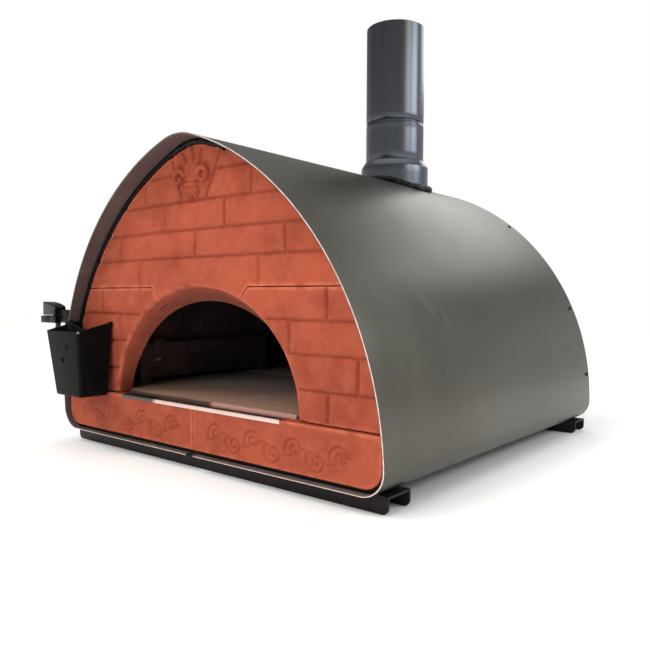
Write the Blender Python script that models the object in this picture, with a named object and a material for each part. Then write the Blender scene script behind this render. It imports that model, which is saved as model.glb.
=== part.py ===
"""Wood fired pizza oven: an insulated steel vault wrapped in one bent casing sheet, with a cast
terracotta front, a tiled floor, a flue at the rear, two foot channels and a clip-on pocket.

Metres, +Z up. The front looks towards -Y. The origin is on the ground, at the middle of the
underside of the front foot channel's front flange.
"""

from math import asin, atan2, cos, hypot, pi, radians, sin, sqrt

import bmesh
import bpy
from mathutils import Matrix, Vector

# ---------------------------------------------------------------- driving dimensions
GAP = 0.0003                 # between pieces that touch
CURVE_GAP = 0.0009           # between curved walls whose facets don't line up

# foot channels: inverted U sections lying across under the casing
FOOT_HEIGHT = 0.031
FOOT_WIDTH = 0.067
FOOT_LENGTH = 0.924
FOOT_SHEET = 0.004
FOOT_CORNER = 0.012          # rounding of the flanges' lower corners
FOOT_SETBACK = 0.030         # front channel's face behind the casing's lower front edge
BOLT_RADIUS = 0.004
BOLT_HEAD_RADIUS = 0.0075
BOLT_HEAD_HEIGHT = 0.005
BOLT_INSET = 0.095           # from each end of a channel
NUT_HEIGHT = 0.006
NUT_ROOM = 0.003             # hollow in the board round and over a nut

# casing: one wrapped sheet, a pointed arch with a rounded crown
CASING_WIDTH = 0.950
CASING_HEIGHT = 0.638
CASING_DEPTH = 0.962         # along the bottom
CORNER_RADIUS = 0.048
CROWN_RADIUS = 0.144
CASING_SHEET = 0.003
FRONT_OVERHANG = 0.030       # the crown stands this much ahead of the bottom edge
REAR_OVERHANG = 0.017
SEAM_GAP = 0.022             # between the sheet's two ends, under the oven

# terracotta front: five cast blocks
FRONT_INSET = 0.0105         # block edge behind the casing's outer surface
FRONT_RECESS = 0.018         # face behind the casing's lower front edge
FRONT_THICKNESS = 0.040
SILL_PROUD = 0.010
SILL_HEIGHT = 0.091
SILL_THICKNESS = 0.0265
BLOCK_JOINT = 0.0012
CHAMFER_OUTER = 0.149        # half width between the tops of the slanted joints
CHAMFER_INNER = 0.124        # and where they reach the mouth
CHAMFER_RISE = 0.0251        # level joint above the point where they reach it
MOUTH_HALF_WIDTH = 0.277
MOUTH_HEIGHT = 0.240
MOUTH_TAPER_SIDE = 0.007     # how far the reveal closes in towards the chamber
MOUTH_TAPER_TOP = 0.028
GASKET_DEPTH = 0.022
GASKET_RECESS = 0.002        # behind the terracotta face

# floor
BOARD_THICKNESS = 0.070
TILE_THICKNESS = 0.0315
TILE_STEP = 0.002            # the right-hand tiles stand a little higher
TILE_JOINT = 0.001
TONGUE_HALF_WIDTH = 0.258    # the front tiles' tongue between the jambs
TONGUE_SETBACK = 0.0005      # behind the sill's rear face
TILE_SIDE_GAP = 0.004
STRIP_HALF_WIDTH = 0.243
STRIP_FACE = 0.0085
STRIP_TREAD = 0.0245
STRIP_SHEET = 0.0015
TILE_SPLIT = 0.025           # the joint between the left and right tiles, off the oven's middle

# chamber
BLANKET_INSET = 0.010
SHELL_INSET = 0.068
SHELL_SHEET = 0.002
REAR_PANEL_SETBACK = 0.024   # rear panel's plate ahead of the casing's lower rear edge
REAR_PANEL_SHEET = 0.002
REAR_PANEL_RIM = 0.018
REAR_SLAB = 0.030
BACK_SHEET = 0.003

# screws through the casing into the rear panel's rim
SCREW_RADIUS = 0.0020
SCREW_HEAD_RADIUS = 0.0048
SCREW_HEAD_HEIGHT = 0.0026
SCREW_LENGTH = 0.009
SCREW_RIM = 0.55             # share of the head's height that stands upright
SCREW_CROWN = 0.6            # share of the head's radius that is flat on top
SCREW_LEVELS = (0.120, 0.293, 0.523)   # heights of the side screws above the casing's bottom

# flue
FLUE_SETBACK = 0.231         # flue axis ahead of the casing's lower rear edge
FLUE_RADIUS = 0.080
FLUE_SHEET = 0.002
OUTLET_RADIUS = 0.072
OUTLET_TOP = 0.120           # above the casing's crown
OUTLET_DROP = 0.004          # how far the outlet reaches below the chamber's roof
COLLAR_RADIUS = 0.093
COLLAR_HEIGHT = 0.043        # cylinder part, above the crown
CONE_HEIGHT = 0.018
SLEEVE_LENGTH = 0.103
SLEEVE_SHOULDER = 0.009
PIPE_LENGTH = 0.263
PIPE_INSERT = 0.040
SEALANT_WIDTH = 0.008
SEALANT_HEIGHT = 0.006

# fire guard: a low plate along the chamber's left side
GUARD_OFFSET = 0.340         # from the middle of the oven
GUARD_FRONT = 0.103          # behind the terracotta face
GUARD_LENGTH = 0.440
GUARD_LOW = 0.012            # above the floor
GUARD_HEIGHT = 0.088
GUARD_SHEET = 0.003
STRAP_SETBACK = 0.040        # strap behind the plate's front edge
STRAP_WIDTH = 0.033
STRAP_HEIGHT = 0.061
STRAP_RISE = 0.007           # above the plate
GUARD_BOLT_RADIUS = 0.0025
GUARD_BOLT_HEAD = 0.0045
GUARD_BOLT_SPACING = 0.012
GUARD_BOLT_RISE = 0.011      # above the strap's lower edge
GUARD_FOOT_WIDTH = 0.027
GUARD_FOOT_HEIGHT = 0.045

# pocket, hung on the left edge of the casing
POCKET_FRONT = 0.088         # front wall ahead of the terracotta face
POCKET_TOP_DEPTH = 0.0865
POCKET_BOTTOM_DEPTH = 0.069
POCKET_LEFT_TOP = 0.431      # left wall's distance from the middle of the oven
POCKET_LEFT_BOTTOM = 0.388
POCKET_TOP_WIDTH = 0.134
POCKET_BOTTOM_WIDTH = 0.101
POCKET_TOP = 0.241           # front top edge above the casing's bottom
POCKET_REAR_RISE = 0.022
POCKET_BOTTOM = 0.096
POCKET_SHEET = 0.002
POCKET_SCREWS = ((0.084, 0.205), (0.066, 0.175))   # from the pocket's top left, above the casing's bottom

# hanger: a bent sheet round the casing's edge, with a tab outside that carries the clamp
HANGER_SHEET = 0.002
HANGER_HEIGHT = 0.034
HANGER_RISE = 0.001          # above the pocket's rear edge
HANGER_LEG = 0.026           # outside the casing
HANGER_LEG_HEIGHT = 0.013
HANGER_HOOK = 0.010          # inside the casing
HANGER_SHOULDER = 0.018      # level stretch of the top edge before it slopes into the pocket
HANGER_REACH = 0.068         # into the pocket
HANGER_TIP_HEIGHT = 0.012
TAB_LENGTH = 0.062
TAB_RISE = 0.0085            # above the hanger's lower edge

# clamp on the tab: stem, block with a tongue and an arm, bar, and a forked lever on a pin
CLAMP_DEPTH = 0.028
CLAMP_SETBACK = 0.009        # clamp's middle behind the hanger's web
CLAMP_RISE = 0.0142          # block's underside above the tab
CLAMP_CLEARANCE = 0.001
STEM_RADIUS = 0.0062
STEM_FLANGE = 0.003
STEM_ENGAGED = 0.008         # length inside the block
STEM_OFFSET = 0.048          # stem axis outside the hanger's outer leg
BLOCK_LEFT = 0.014           # from the stem's axis
BLOCK_RIGHT = 0.012
BLOCK_HEIGHT = 0.017
BAR_LENGTH = 0.044
TONGUE_RADIUS = 0.0065
TONGUE_DEPTH = 0.016
PIN_RADIUS = 0.0025
PIN_RISE = 0.0190            # above the block's top
ARM_SHEET = 0.006
ARM_TOP = 0.033              # above the block's underside
ARM_TIP_HEIGHT = 0.023
ARM_EYE_RADIUS = 0.0026
ARM_EYE = (0.010, 0.0165)    # right of the block, above its underside
LEVER_LENGTH = 0.0585
LEVER_HEIGHT = 0.034         # at the left end
LEVER_FALL = 0.009           # the top's fall towards the pin

# ---------------------------------------------------------------- derived places
CASING_BOTTOM = FOOT_HEIGHT + GAP
CASING_TOP = CASING_BOTTOM + CASING_HEIGHT
HALF_WIDTH = CASING_WIDTH / 2
CASING_FRONT = -FOOT_SETBACK - FOOT_SHEET / 2
CASING_REAR = CASING_FRONT + CASING_DEPTH
CORNER_X = HALF_WIDTH - CORNER_RADIUS
CORNER_Z = CASING_BOTTOM + CORNER_RADIUS
CROWN_RISE = CASING_HEIGHT - CORNER_RADIUS - CROWN_RADIUS
SIDE_RADIUS = (HALF_WIDTH ** 2 - CROWN_RADIUS ** 2 + CROWN_RISE ** 2) / (2 * (HALF_WIDTH - CROWN_RADIUS))
SIDE_X = HALF_WIDTH - SIDE_RADIUS
CROWN_Z = CORNER_Z + CROWN_RISE
CROWN_ANGLE = atan2(CROWN_Z - CORNER_Z, -SIDE_X)

FACE_Y = CASING_FRONT + FRONT_RECESS
FRONT_REAR = FACE_Y + FRONT_THICKNESS
SILL_FACE = FACE_Y - SILL_PROUD
SILL_REAR = SILL_FACE + SILL_THICKNESS
SILL_TOP = CASING_BOTTOM + FRONT_INSET - BLOCK_JOINT + SILL_HEIGHT
MOUTH_BASE = SILL_TOP
MOUTH_SHOULDER = MOUTH_HEIGHT * sqrt(1 - (CHAMFER_INNER / MOUTH_HALF_WIDTH) ** 2)
BLOCK_LEVEL = MOUTH_BASE + MOUTH_SHOULDER + CHAMFER_RISE

BOARD_LOW = CASING_BOTTOM + CASING_SHEET + CURVE_GAP
BOARD_TOP = BOARD_LOW + BOARD_THICKNESS
FLOOR_TOP = BOARD_TOP + GAP + TILE_THICKNESS
CHAMBER_FRONT = FRONT_REAR + GAP
PANEL_Y = CASING_REAR - REAR_PANEL_SETBACK
SLAB_REAR = PANEL_Y - GAP
SLAB_FRONT = SLAB_REAR - REAR_SLAB
BACK_FRONT = SLAB_FRONT - GAP - BACK_SHEET
CHAMBER_REAR = BACK_FRONT - GAP

FLUE_Y = CASING_REAR - FLUE_SETBACK
COLLAR_TOP = CASING_TOP + COLLAR_HEIGHT + CONE_HEIGHT
SLEEVE_TOP = COLLAR_TOP + GAP + SLEEVE_LENGTH
FLUE_TOP = SLEEVE_TOP + GAP + PIPE_LENGTH
ROUND = 40                   # segments round a flue piece


# ---------------------------------------------------------------- materials
def make_material(name, colour, roughness, metallic):
    """A Principled material with one colour."""
    material = bpy.data.materials.new(name)
    material.use_nodes = True
    shader = material.node_tree.nodes["Principled BSDF"]
    shader.inputs["Base Color"].default_value = (*colour, 1)
    shader.inputs["Roughness"].default_value = roughness
    shader.inputs["Metallic"].default_value = metallic
    return material


def make_materials():
    """The oven's finishes by slot name."""
    return {
        "casing_steel": make_material("casing_steel", (0.17, 0.16, 0.145), 0.38, 0.85),
        "black_steel": make_material("black_steel", (0.030, 0.022, 0.022), 0.50, 0.30),
        "terracotta": make_material("terracotta", (0.48, 0.11, 0.055), 0.85, 0.0),
        "refractory": make_material("refractory", (0.30, 0.21, 0.15), 0.90, 0.0),
        "chamber_steel": make_material("chamber_steel", (0.05, 0.045, 0.045), 0.45, 0.9),
        "bright_steel": make_material("bright_steel", (0.72, 0.66, 0.64), 0.28, 1.0),
        "insulation": make_material("insulation", (0.78, 0.76, 0.72), 0.95, 0.0),
        "gasket": make_material("gasket", (0.012, 0.011, 0.011), 0.80, 0.0),
        "flue_enamel": make_material("flue_enamel", (0.060, 0.075, 0.095), 0.30, 0.7),
        "pocket_enamel": make_material("pocket_enamel", (0.030, 0.030, 0.028), 0.42, 0.2),
        "clamp_plastic": make_material("clamp_plastic", (0.010, 0.010, 0.011), 0.25, 0.0),
    }


# ---------------------------------------------------------------- shape helpers
def clear_scene():
    """Removes whatever the scene holds."""
    for item in list(bpy.data.objects):
        bpy.data.objects.remove(item, do_unlink=True)


def add_object(name, bm, material, smooth_angle=30):
    """Turns a bmesh into a named object, with its normals outwards."""
    bmesh.ops.recalc_face_normals(bm, faces=bm.faces)
    mesh = bpy.data.meshes.new(name)
    bm.to_mesh(mesh)
    bm.free()
    mesh.shade_smooth()
    mesh.set_sharp_from_angle(angle=radians(smooth_angle))
    mesh.materials.append(material)
    piece = bpy.data.objects.new(name, mesh)
    bpy.context.scene.collection.objects.link(piece)
    return piece


def loft(name, loops, material, ring=False):
    """Joins equal vertex loops one to the next. A ring also joins its last loop to its first."""
    bm = bmesh.new()
    rows = [[bm.verts.new(point) for point in loop] for loop in loops]
    pairs = list(zip(rows, rows[1:]))
    if ring:
        pairs.append((rows[-1], rows[0]))
    count = len(rows[0])
    for low, high in pairs:
        for i in range(count):
            j = (i + 1) % count
            bm.faces.new((low[i], low[j], high[j], high[i]))
    if not ring:
        bm.faces.new(rows[0])
        bm.faces.new(rows[-1])
    return add_object(name, bm, material)


def prism_y(name, outline, y_low, y_high, material):
    """An (x, z) outline extruded along Y."""
    return loft(name, [[(x, y, z) for x, z in outline] for y in (y_low, y_high)], material)


def prism_x(name, outline, x_low, x_high, material):
    """A (y, z) outline extruded along X."""
    return loft(name, [[(x, y, z) for y, z in outline] for x in (x_low, x_high)], material)


def prism_z(name, outline, z_low, z_high, material):
    """An (x, y) outline extruded along Z."""
    return loft(name, [[(x, y, z) for x, y in outline] for z in (z_low, z_high)], material)


def box_outline(a_low, a_high, b_low, b_high):
    """The four corners of a rectangle."""
    return [(a_low, b_low), (a_high, b_low), (a_high, b_high), (a_low, b_high)]


def turned(name, profile, origin, axis, material, segments=16):
    """A solid of revolution from (radius, height) pairs along an axis from an origin."""
    turn = Vector(axis).to_track_quat("Z", "Y").to_matrix().to_4x4()
    place = Matrix.Translation(origin) @ turn
    loops = []
    for radius, height in profile:
        steps = [2 * pi * i / segments for i in range(segments)]
        loops.append([place @ Vector((radius * cos(a), radius * sin(a), height)) for a in steps])
    return loft(name, loops, material)


def tube(name, section, material, segments=ROUND):
    """A wall round the flue's axis. The section gives closed (radius, height) points at an angle."""
    loops = []
    for i in range(segments):
        angle = 2 * pi * i / segments
        wall = section(angle)
        loops.append([(r * cos(angle), FLUE_Y + r * sin(angle), z) for r, z in wall])
    return loft(name, loops, material, ring=True)


def cut(piece, cutter):
    """Takes a cutter's shape out of a piece."""
    cutter.hide_render = True
    cutter.display_type = "WIRE"
    change = piece.modifiers.new(f"cut_{cutter.name}", "BOOLEAN")
    change.operation = "DIFFERENCE"
    change.solver = "EXACT"
    change.object = cutter


def join(piece, addition):
    """Makes another shape part of a piece; the two must meet."""
    addition.hide_render = True
    addition.display_type = "WIRE"
    change = piece.modifiers.new(f"join_{addition.name}", "BOOLEAN")
    change.operation = "UNION"
    change.solver = "EXACT"
    change.object = addition


def arc(centre_x, centre_z, radius, start, stop, steps):
    """Points on an arc, both ends included."""
    turns = [start + (stop - start) * i / steps for i in range(steps + 1)]
    return [(centre_x + radius * cos(t), centre_z + radius * sin(t)) for t in turns]


# ---------------------------------------------------------------- the casing's outline
def lower_right(inset, level):
    """Right half of the outline from the bottom's middle up to a level on the side arc."""
    points = [(0.0, CASING_BOTTOM + inset)]
    points += arc(CORNER_X, CORNER_Z, CORNER_RADIUS - inset, -pi / 2, 0, 7)
    if level > CORNER_Z:
        top = asin((level - CORNER_Z) / (SIDE_RADIUS - inset))
        points += arc(SIDE_X, CORNER_Z, SIDE_RADIUS - inset, 0, top, 4)[1:]
    return points


def arch_right(inset, level, side_steps=18):
    """Right half of the outline from a level on the side arc up to the crown's middle."""
    start = asin((level - CORNER_Z) / (SIDE_RADIUS - inset))
    points = arc(SIDE_X, CORNER_Z, SIDE_RADIUS - inset, start, CROWN_ANGLE, side_steps)
    return points + arc(0.0, CROWN_Z, CROWN_RADIUS - inset, CROWN_ANGLE, pi / 2, 6)[1:]


def mirrored(points):
    """A right half, up to the middle, followed by its left half."""
    left = [(-x, z) for x, z in reversed(points) if abs(x) > 1e-9]
    return points + left


def arch(inset, level, side_steps=18):
    """The outline above a level, from right to left."""
    return mirrored(arch_right(inset, level, side_steps))


def side_x(inset, level):
    """Half width of the outline at a level on the side arc."""
    return SIDE_X + sqrt((SIDE_RADIUS - inset) ** 2 - (level - CORNER_Z) ** 2)


def roof_z(inset, x):
    """Height of the outline over a distance from the middle."""
    radius = CROWN_RADIUS - inset
    if abs(x) < radius * cos(CROWN_ANGLE):
        return CROWN_Z + sqrt(radius ** 2 - x ** 2)
    return CORNER_Z + sqrt((SIDE_RADIUS - inset) ** 2 - (abs(x) - SIDE_X) ** 2)


def whole_outline(inset):
    """The closed outline: bottom middle, right side, crown, left side."""
    right = lower_right(inset, CORNER_Z)[:-1] + arch_right(inset, CORNER_Z)
    return right + [(-x, z) for x, z in reversed(right[1:-1])]


def front_edge(z):
    """The casing's front edge leans forward towards the crown."""
    return CASING_FRONT - FRONT_OVERHANG * (z - CASING_BOTTOM) / CASING_HEIGHT


def rear_edge(z):
    """The casing's rear edge leans back towards the crown."""
    return CASING_REAR + REAR_OVERHANG * (z - CASING_BOTTOM) / CASING_HEIGHT


def band(name, outer, inner, y_low, y_high, material, ring=False):
    """A wall between two matching outlines."""
    loops = []
    for (xo, zo), (xi, zi) in zip(outer, inner):
        outside = [(xo, y_low(zo), zo), (xo, y_high(zo), zo)]
        inside = [(xi, y_high(zi), zi), (xi, y_low(zi), zi)]
        loops.append(outside + inside)
    return loft(name, loops, material, ring=ring)


def level_y(y):
    """An edge that keeps one place along Y."""
    return lambda z: y


# ---------------------------------------------------------------- feet
def foot_places():
    """Each foot channel's name and front face."""
    rear_face = CASING_REAR - FOOT_WIDTH
    return (("front_foot_channel", CASING_FRONT + FOOT_SETBACK), ("rear_foot_channel", rear_face))


def make_feet(finish):
    """Two inverted U channels with rounded flange corners."""
    half = FOOT_LENGTH / 2
    right = arc(half - FOOT_CORNER, FOOT_CORNER, FOOT_CORNER, -pi / 2, 0, 5) + [(half, FOOT_HEIGHT)]
    outline = right + [(-x, z) for x, z in reversed(right)]
    feet = []
    for name, face in foot_places():
        channel = prism_y(name, outline, face, face + FOOT_WIDTH, finish["black_steel"])
        rear = face + FOOT_WIDTH
        inside = box_outline(face + FOOT_SHEET, rear - FOOT_SHEET, -FOOT_HEIGHT, FOOT_HEIGHT - FOOT_SHEET)
        cut(channel, prism_x(f"{name}_inside", inside, -FOOT_LENGTH, FOOT_LENGTH, finish["black_steel"]))
        feet.append(channel)
    return feet


def bolt_places():
    """The foot bolts' names and centres."""
    reach = FOOT_LENGTH / 2 - BOLT_INSET
    for name, face in foot_places():
        for side, x in (("left", -reach), ("right", reach)):
            yield name.split("_")[0] + "_" + side, x, face + FOOT_WIDTH / 2


def make_foot_bolts(finish, feet, casing, board):
    """Hexagon bolts up through the channels and the casing's bottom, with nuts inside."""
    web_low = FOOT_HEIGHT - FOOT_SHEET
    nut_low = CASING_BOTTOM + CASING_SHEET + GAP
    shank_top = nut_low + NUT_HEIGHT + BOLT_RADIUS
    up = (0, 0, 1)
    for label, x, y in bolt_places():
        base = (x, y, 0)
        foot = feet[0] if label.startswith("front") else feet[1]
        head = web_low - GAP - BOLT_HEAD_HEIGHT
        profile = [(BOLT_HEAD_RADIUS, head), (BOLT_HEAD_RADIUS, web_low - GAP)]
        profile += [(BOLT_RADIUS, web_low - GAP), (BOLT_RADIUS, shank_top)]
        turned(f"foot_bolt_{label}", profile, base, up, finish["bright_steel"], 12)
        hole = [(BOLT_RADIUS + GAP, web_low - BOLT_RADIUS), (BOLT_RADIUS + GAP, nut_low + BOLT_RADIUS)]
        cutter = turned(f"foot_bolt_hole_{label}", hole, base, up, finish["bright_steel"], 12)
        cut(foot, cutter)
        cut(casing, cutter)
        make_nut(f"foot_nut_{label}", x, y, nut_low, finish["bright_steel"])
        room = BOLT_HEAD_RADIUS + NUT_ROOM
        pocket = [(room, nut_low - NUT_ROOM), (room, shank_top + NUT_ROOM)]
        cut(board, turned(f"foot_nut_pocket_{label}", pocket, base, up, finish["bright_steel"], 12))


def make_nut(name, x, y, low, material):
    """A hexagon nut round a foot bolt."""
    loops = []
    for i in range(12):
        angle = 2 * pi * i / 12
        flat = BOLT_HEAD_RADIUS if i % 2 == 0 else BOLT_HEAD_RADIUS * cos(pi / 6)
        wall = [(flat, low), (flat, low + NUT_HEIGHT)]
        wall += [(BOLT_RADIUS + GAP, low + NUT_HEIGHT), (BOLT_RADIUS + GAP, low)]
        loops.append([(x + r * cos(angle), y + r * sin(angle), z) for r, z in wall])
    return loft(name, loops, material, ring=True)


# ---------------------------------------------------------------- casing and rear panel
def make_casing(finish):
    """One sheet from the bottom seam, round the right side and crown, and back to the seam."""
    outer = whole_outline(0.0)
    inner = whole_outline(CASING_SHEET)
    outer = [(SEAM_GAP / 2, outer[0][1])] + outer[1:] + [(-SEAM_GAP / 2, outer[0][1])]
    inner = [(SEAM_GAP / 2, inner[0][1])] + inner[1:] + [(-SEAM_GAP / 2, inner[0][1])]
    return band("outer_casing", outer, inner, front_edge, rear_edge, finish["casing_steel"])


def make_rear_panel(finish):
    """A plate that closes the back, with a rim turned rearwards inside the casing."""
    rim_inset = CASING_SHEET + GAP
    outline = whole_outline(rim_inset)
    panel = prism_y("rear_panel", outline, PANEL_Y, PANEL_Y + REAR_PANEL_RIM, finish["black_steel"])
    inside = whole_outline(rim_inset + REAR_PANEL_SHEET)
    plate_rear = PANEL_Y + REAR_PANEL_SHEET
    hollow = prism_y("rear_panel_hollow", inside, plate_rear, CASING_REAR, finish["black_steel"])
    cut(panel, hollow)
    return panel


def screw_places():
    """Names, (x, z) points on the casing's outline and outward directions of the rear screws."""
    yield "crown", (0.0, CASING_TOP), (0.0, 1.0)
    for number, rise in enumerate(SCREW_LEVELS, 1):
        level = CASING_BOTTOM + rise
        x = side_x(0.0, level)
        length = hypot(x - SIDE_X, level - CORNER_Z)
        out = ((x - SIDE_X) / length, (level - CORNER_Z) / length)
        yield f"right_{number}", (x, level), out
        yield f"left_{number}", (-x, level), (-out[0], out[1])


def screw_profile():
    """A pan head screw with its head seated on the origin's plane."""
    shank = [(SCREW_RADIUS, -SCREW_LENGTH), (SCREW_RADIUS, GAP), (SCREW_HEAD_RADIUS, GAP)]
    rim = (SCREW_HEAD_RADIUS, SCREW_HEAD_HEIGHT * SCREW_RIM)
    return shank + [rim, (SCREW_HEAD_RADIUS * SCREW_CROWN, SCREW_HEAD_HEIGHT)]


def make_casing_screws(finish, casing, panel):
    """Pan head screws through the casing into the rear panel's rim."""
    y = PANEL_Y + REAR_PANEL_RIM / 2
    for label, (x, z), (nx, nz) in screw_places():
        origin = (x, y, z)
        axis = (nx, 0, nz)
        turned(f"casing_screw_{label}", screw_profile(), origin, axis, finish["black_steel"], 12)
        hole = [(SCREW_RADIUS + GAP, -SCREW_LENGTH), (SCREW_RADIUS + GAP, SCREW_RADIUS)]
        cutter = turned(f"casing_screw_hole_{label}", hole, origin, axis, finish["black_steel"], 12)
        cut(casing, cutter)
        cut(panel, cutter)


# ---------------------------------------------------------------- terracotta front
def mouth_size(rearward):
    """Half width and height of the mouth at its front (0) or its chamber side (1)."""
    return MOUTH_HALF_WIDTH - MOUTH_TAPER_SIDE * rearward, MOUTH_HEIGHT - MOUTH_TAPER_TOP * rearward


def mouth_arc(x_start, x_stop, rearward, steps):
    """Points on the mouth's arch between two places across the oven, evenly turned."""
    half, height = mouth_size(rearward)
    start = atan2(sqrt(1 - (x_start / half) ** 2), x_start / half)
    stop = atan2(sqrt(max(0.0, 1 - (x_stop / half) ** 2)), x_stop / half)
    turns = [start + (stop - start) * i / steps for i in range(steps + 1)]
    return [(half * cos(t), MOUTH_BASE + height * sin(t)) for t in turns]


def front_block(name, outline, material):
    """A block whose outline, a function of 0 at the front and 1 at the rear, follows the reveal."""
    front = [(x, FACE_Y, z) for x, z in outline(0.0)]
    rear = [(x, FRONT_REAR, z) for x, z in outline(1.0)]
    return loft(name, [front, rear], material)


def top_block_outline(rearward):
    """The pointed top block, whose tongue forms the crown of the mouth."""
    low = BLOCK_LEVEL
    points = arch(FRONT_INSET, low)
    points += [(-CHAMFER_OUTER, low)]
    points += mouth_arc(-CHAMFER_INNER, CHAMFER_INNER, rearward, 12)
    return points + [(CHAMFER_OUTER, low)]


def jamb_outline(rearward, side):
    """A jamb between the sill and the top block; side is 1 on the right and -1 on the left."""
    low = SILL_TOP + BLOCK_JOINT
    high = BLOCK_LEVEL - BLOCK_JOINT
    start = asin((low - CORNER_Z) / (SIDE_RADIUS - FRONT_INSET))
    stop = asin((high - CORNER_Z) / (SIDE_RADIUS - FRONT_INSET))
    outer = arc(SIDE_X, CORNER_Z, SIDE_RADIUS - FRONT_INSET, start, stop, 6)
    half, height = mouth_size(rearward)
    foot_x = half * sqrt(1 - ((low - MOUTH_BASE) / height) ** 2)
    inner = mouth_arc(CHAMFER_INNER + BLOCK_JOINT, foot_x, rearward, 10)
    points = outer + [(CHAMFER_OUTER + BLOCK_JOINT * 1.5, high)] + inner
    return [(side * x, z) for x, z in points]


def make_front(finish):
    """Top block, two jambs and two sill blocks."""
    terracotta = finish["terracotta"]
    front_block("front_top_block", top_block_outline, terracotta)
    front_block("front_right_jamb", lambda rearward: jamb_outline(rearward, 1), terracotta)
    front_block("front_left_jamb", lambda rearward: jamb_outline(rearward, -1), terracotta)
    lower = lower_right(FRONT_INSET, SILL_TOP)
    lower = [(BLOCK_JOINT / 2, lower[0][1])] + lower[1:] + [(BLOCK_JOINT / 2, SILL_TOP)]
    prism_y("sill_right", lower, SILL_FACE, SILL_REAR, terracotta)
    prism_y("sill_left", [(-x, z) for x, z in lower], SILL_FACE, SILL_REAR, terracotta)


def make_gasket(finish):
    """A rope seal all round between the terracotta and the casing."""
    outer = whole_outline(CASING_SHEET + GAP)
    inner = whole_outline(FRONT_INSET - CURVE_GAP)
    low = level_y(FACE_Y + GASKET_RECESS)
    high = level_y(FACE_Y + GASKET_RECESS + GASKET_DEPTH)
    return band("front_gasket", outer, inner, low, high, finish["gasket"], ring=True)


def make_hearth_strip(finish):
    """An angle strip over the sill's front edge."""
    y = SILL_FACE - GAP
    top = SILL_TOP + GAP
    section = [(y - STRIP_SHEET, top + STRIP_SHEET), (y - STRIP_SHEET, top + STRIP_SHEET - STRIP_FACE)]
    section += [(y, top + STRIP_SHEET - STRIP_FACE), (y, top)]
    section += [(y + STRIP_TREAD, top), (y + STRIP_TREAD, top + STRIP_SHEET)]
    return prism_x("hearth_strip", section, -STRIP_HALF_WIDTH, STRIP_HALF_WIDTH, finish["bright_steel"])


# ---------------------------------------------------------------- floor
def make_board(finish):
    """The insulating board under the tiles, shaped to the casing's lower corners."""
    right = lower_right(CASING_SHEET + CURVE_GAP, BOARD_TOP)
    outline = right + [(-x, z) for x, z in reversed(right[1:])]
    return prism_y("insulation_board", outline, CHAMBER_FRONT, SLAB_FRONT - GAP, finish["insulation"])


def make_tiles(finish):
    """Two front tiles with a tongue between the jambs, and two rear tiles."""
    low = BOARD_TOP + GAP
    half = side_x(SHELL_INSET + SHELL_SHEET + TILE_SIDE_GAP, FLOOR_TOP)
    edge = TILE_JOINT / 2
    tongue = SILL_REAR + TONGUE_SETBACK
    middle = (CHAMBER_FRONT + CHAMBER_REAR) / 2
    for side, sign, rise in (("right", 1, TILE_STEP), ("left", -1, 0.0)):
        inner = sign * TILE_SPLIT + edge
        front = [(inner, tongue), (TONGUE_HALF_WIDTH, tongue), (TONGUE_HALF_WIDTH, CHAMBER_FRONT)]
        front += [(half, CHAMBER_FRONT), (half, middle - edge), (inner, middle - edge)]
        rear = box_outline(inner, half, middle + edge, CHAMBER_REAR - GAP)
        for row, outline in (("front", front), ("rear", rear)):
            points = [(sign * x, y) for x, y in outline]
            prism_z(f"floor_tile_{row}_{side}", points, low, FLOOR_TOP + rise, finish["refractory"])


# ---------------------------------------------------------------- chamber
def make_chamber(finish):
    """The steel vault, its back plate, and the insulation over and behind them."""
    base = BOARD_TOP + GAP
    front = level_y(CHAMBER_FRONT)
    shell = band(
        "chamber_shell", arch(SHELL_INSET, base), arch(SHELL_INSET + SHELL_SHEET, base),
        front, level_y(CHAMBER_REAR), finish["chamber_steel"],
    )
    back = arch(SHELL_INSET, base)
    prism_y("chamber_back", back, BACK_FRONT, BACK_FRONT + BACK_SHEET, finish["chamber_steel"])
    blanket = band(
        "insulation_blanket", arch(BLANKET_INSET, base), arch(SHELL_INSET - CURVE_GAP, base),
        front, level_y(SLAB_FRONT - GAP), finish["insulation"],
    )
    prism_y("rear_insulation", arch(BLANKET_INSET, base), SLAB_FRONT, SLAB_REAR, finish["insulation"])
    return shell, blanket


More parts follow.
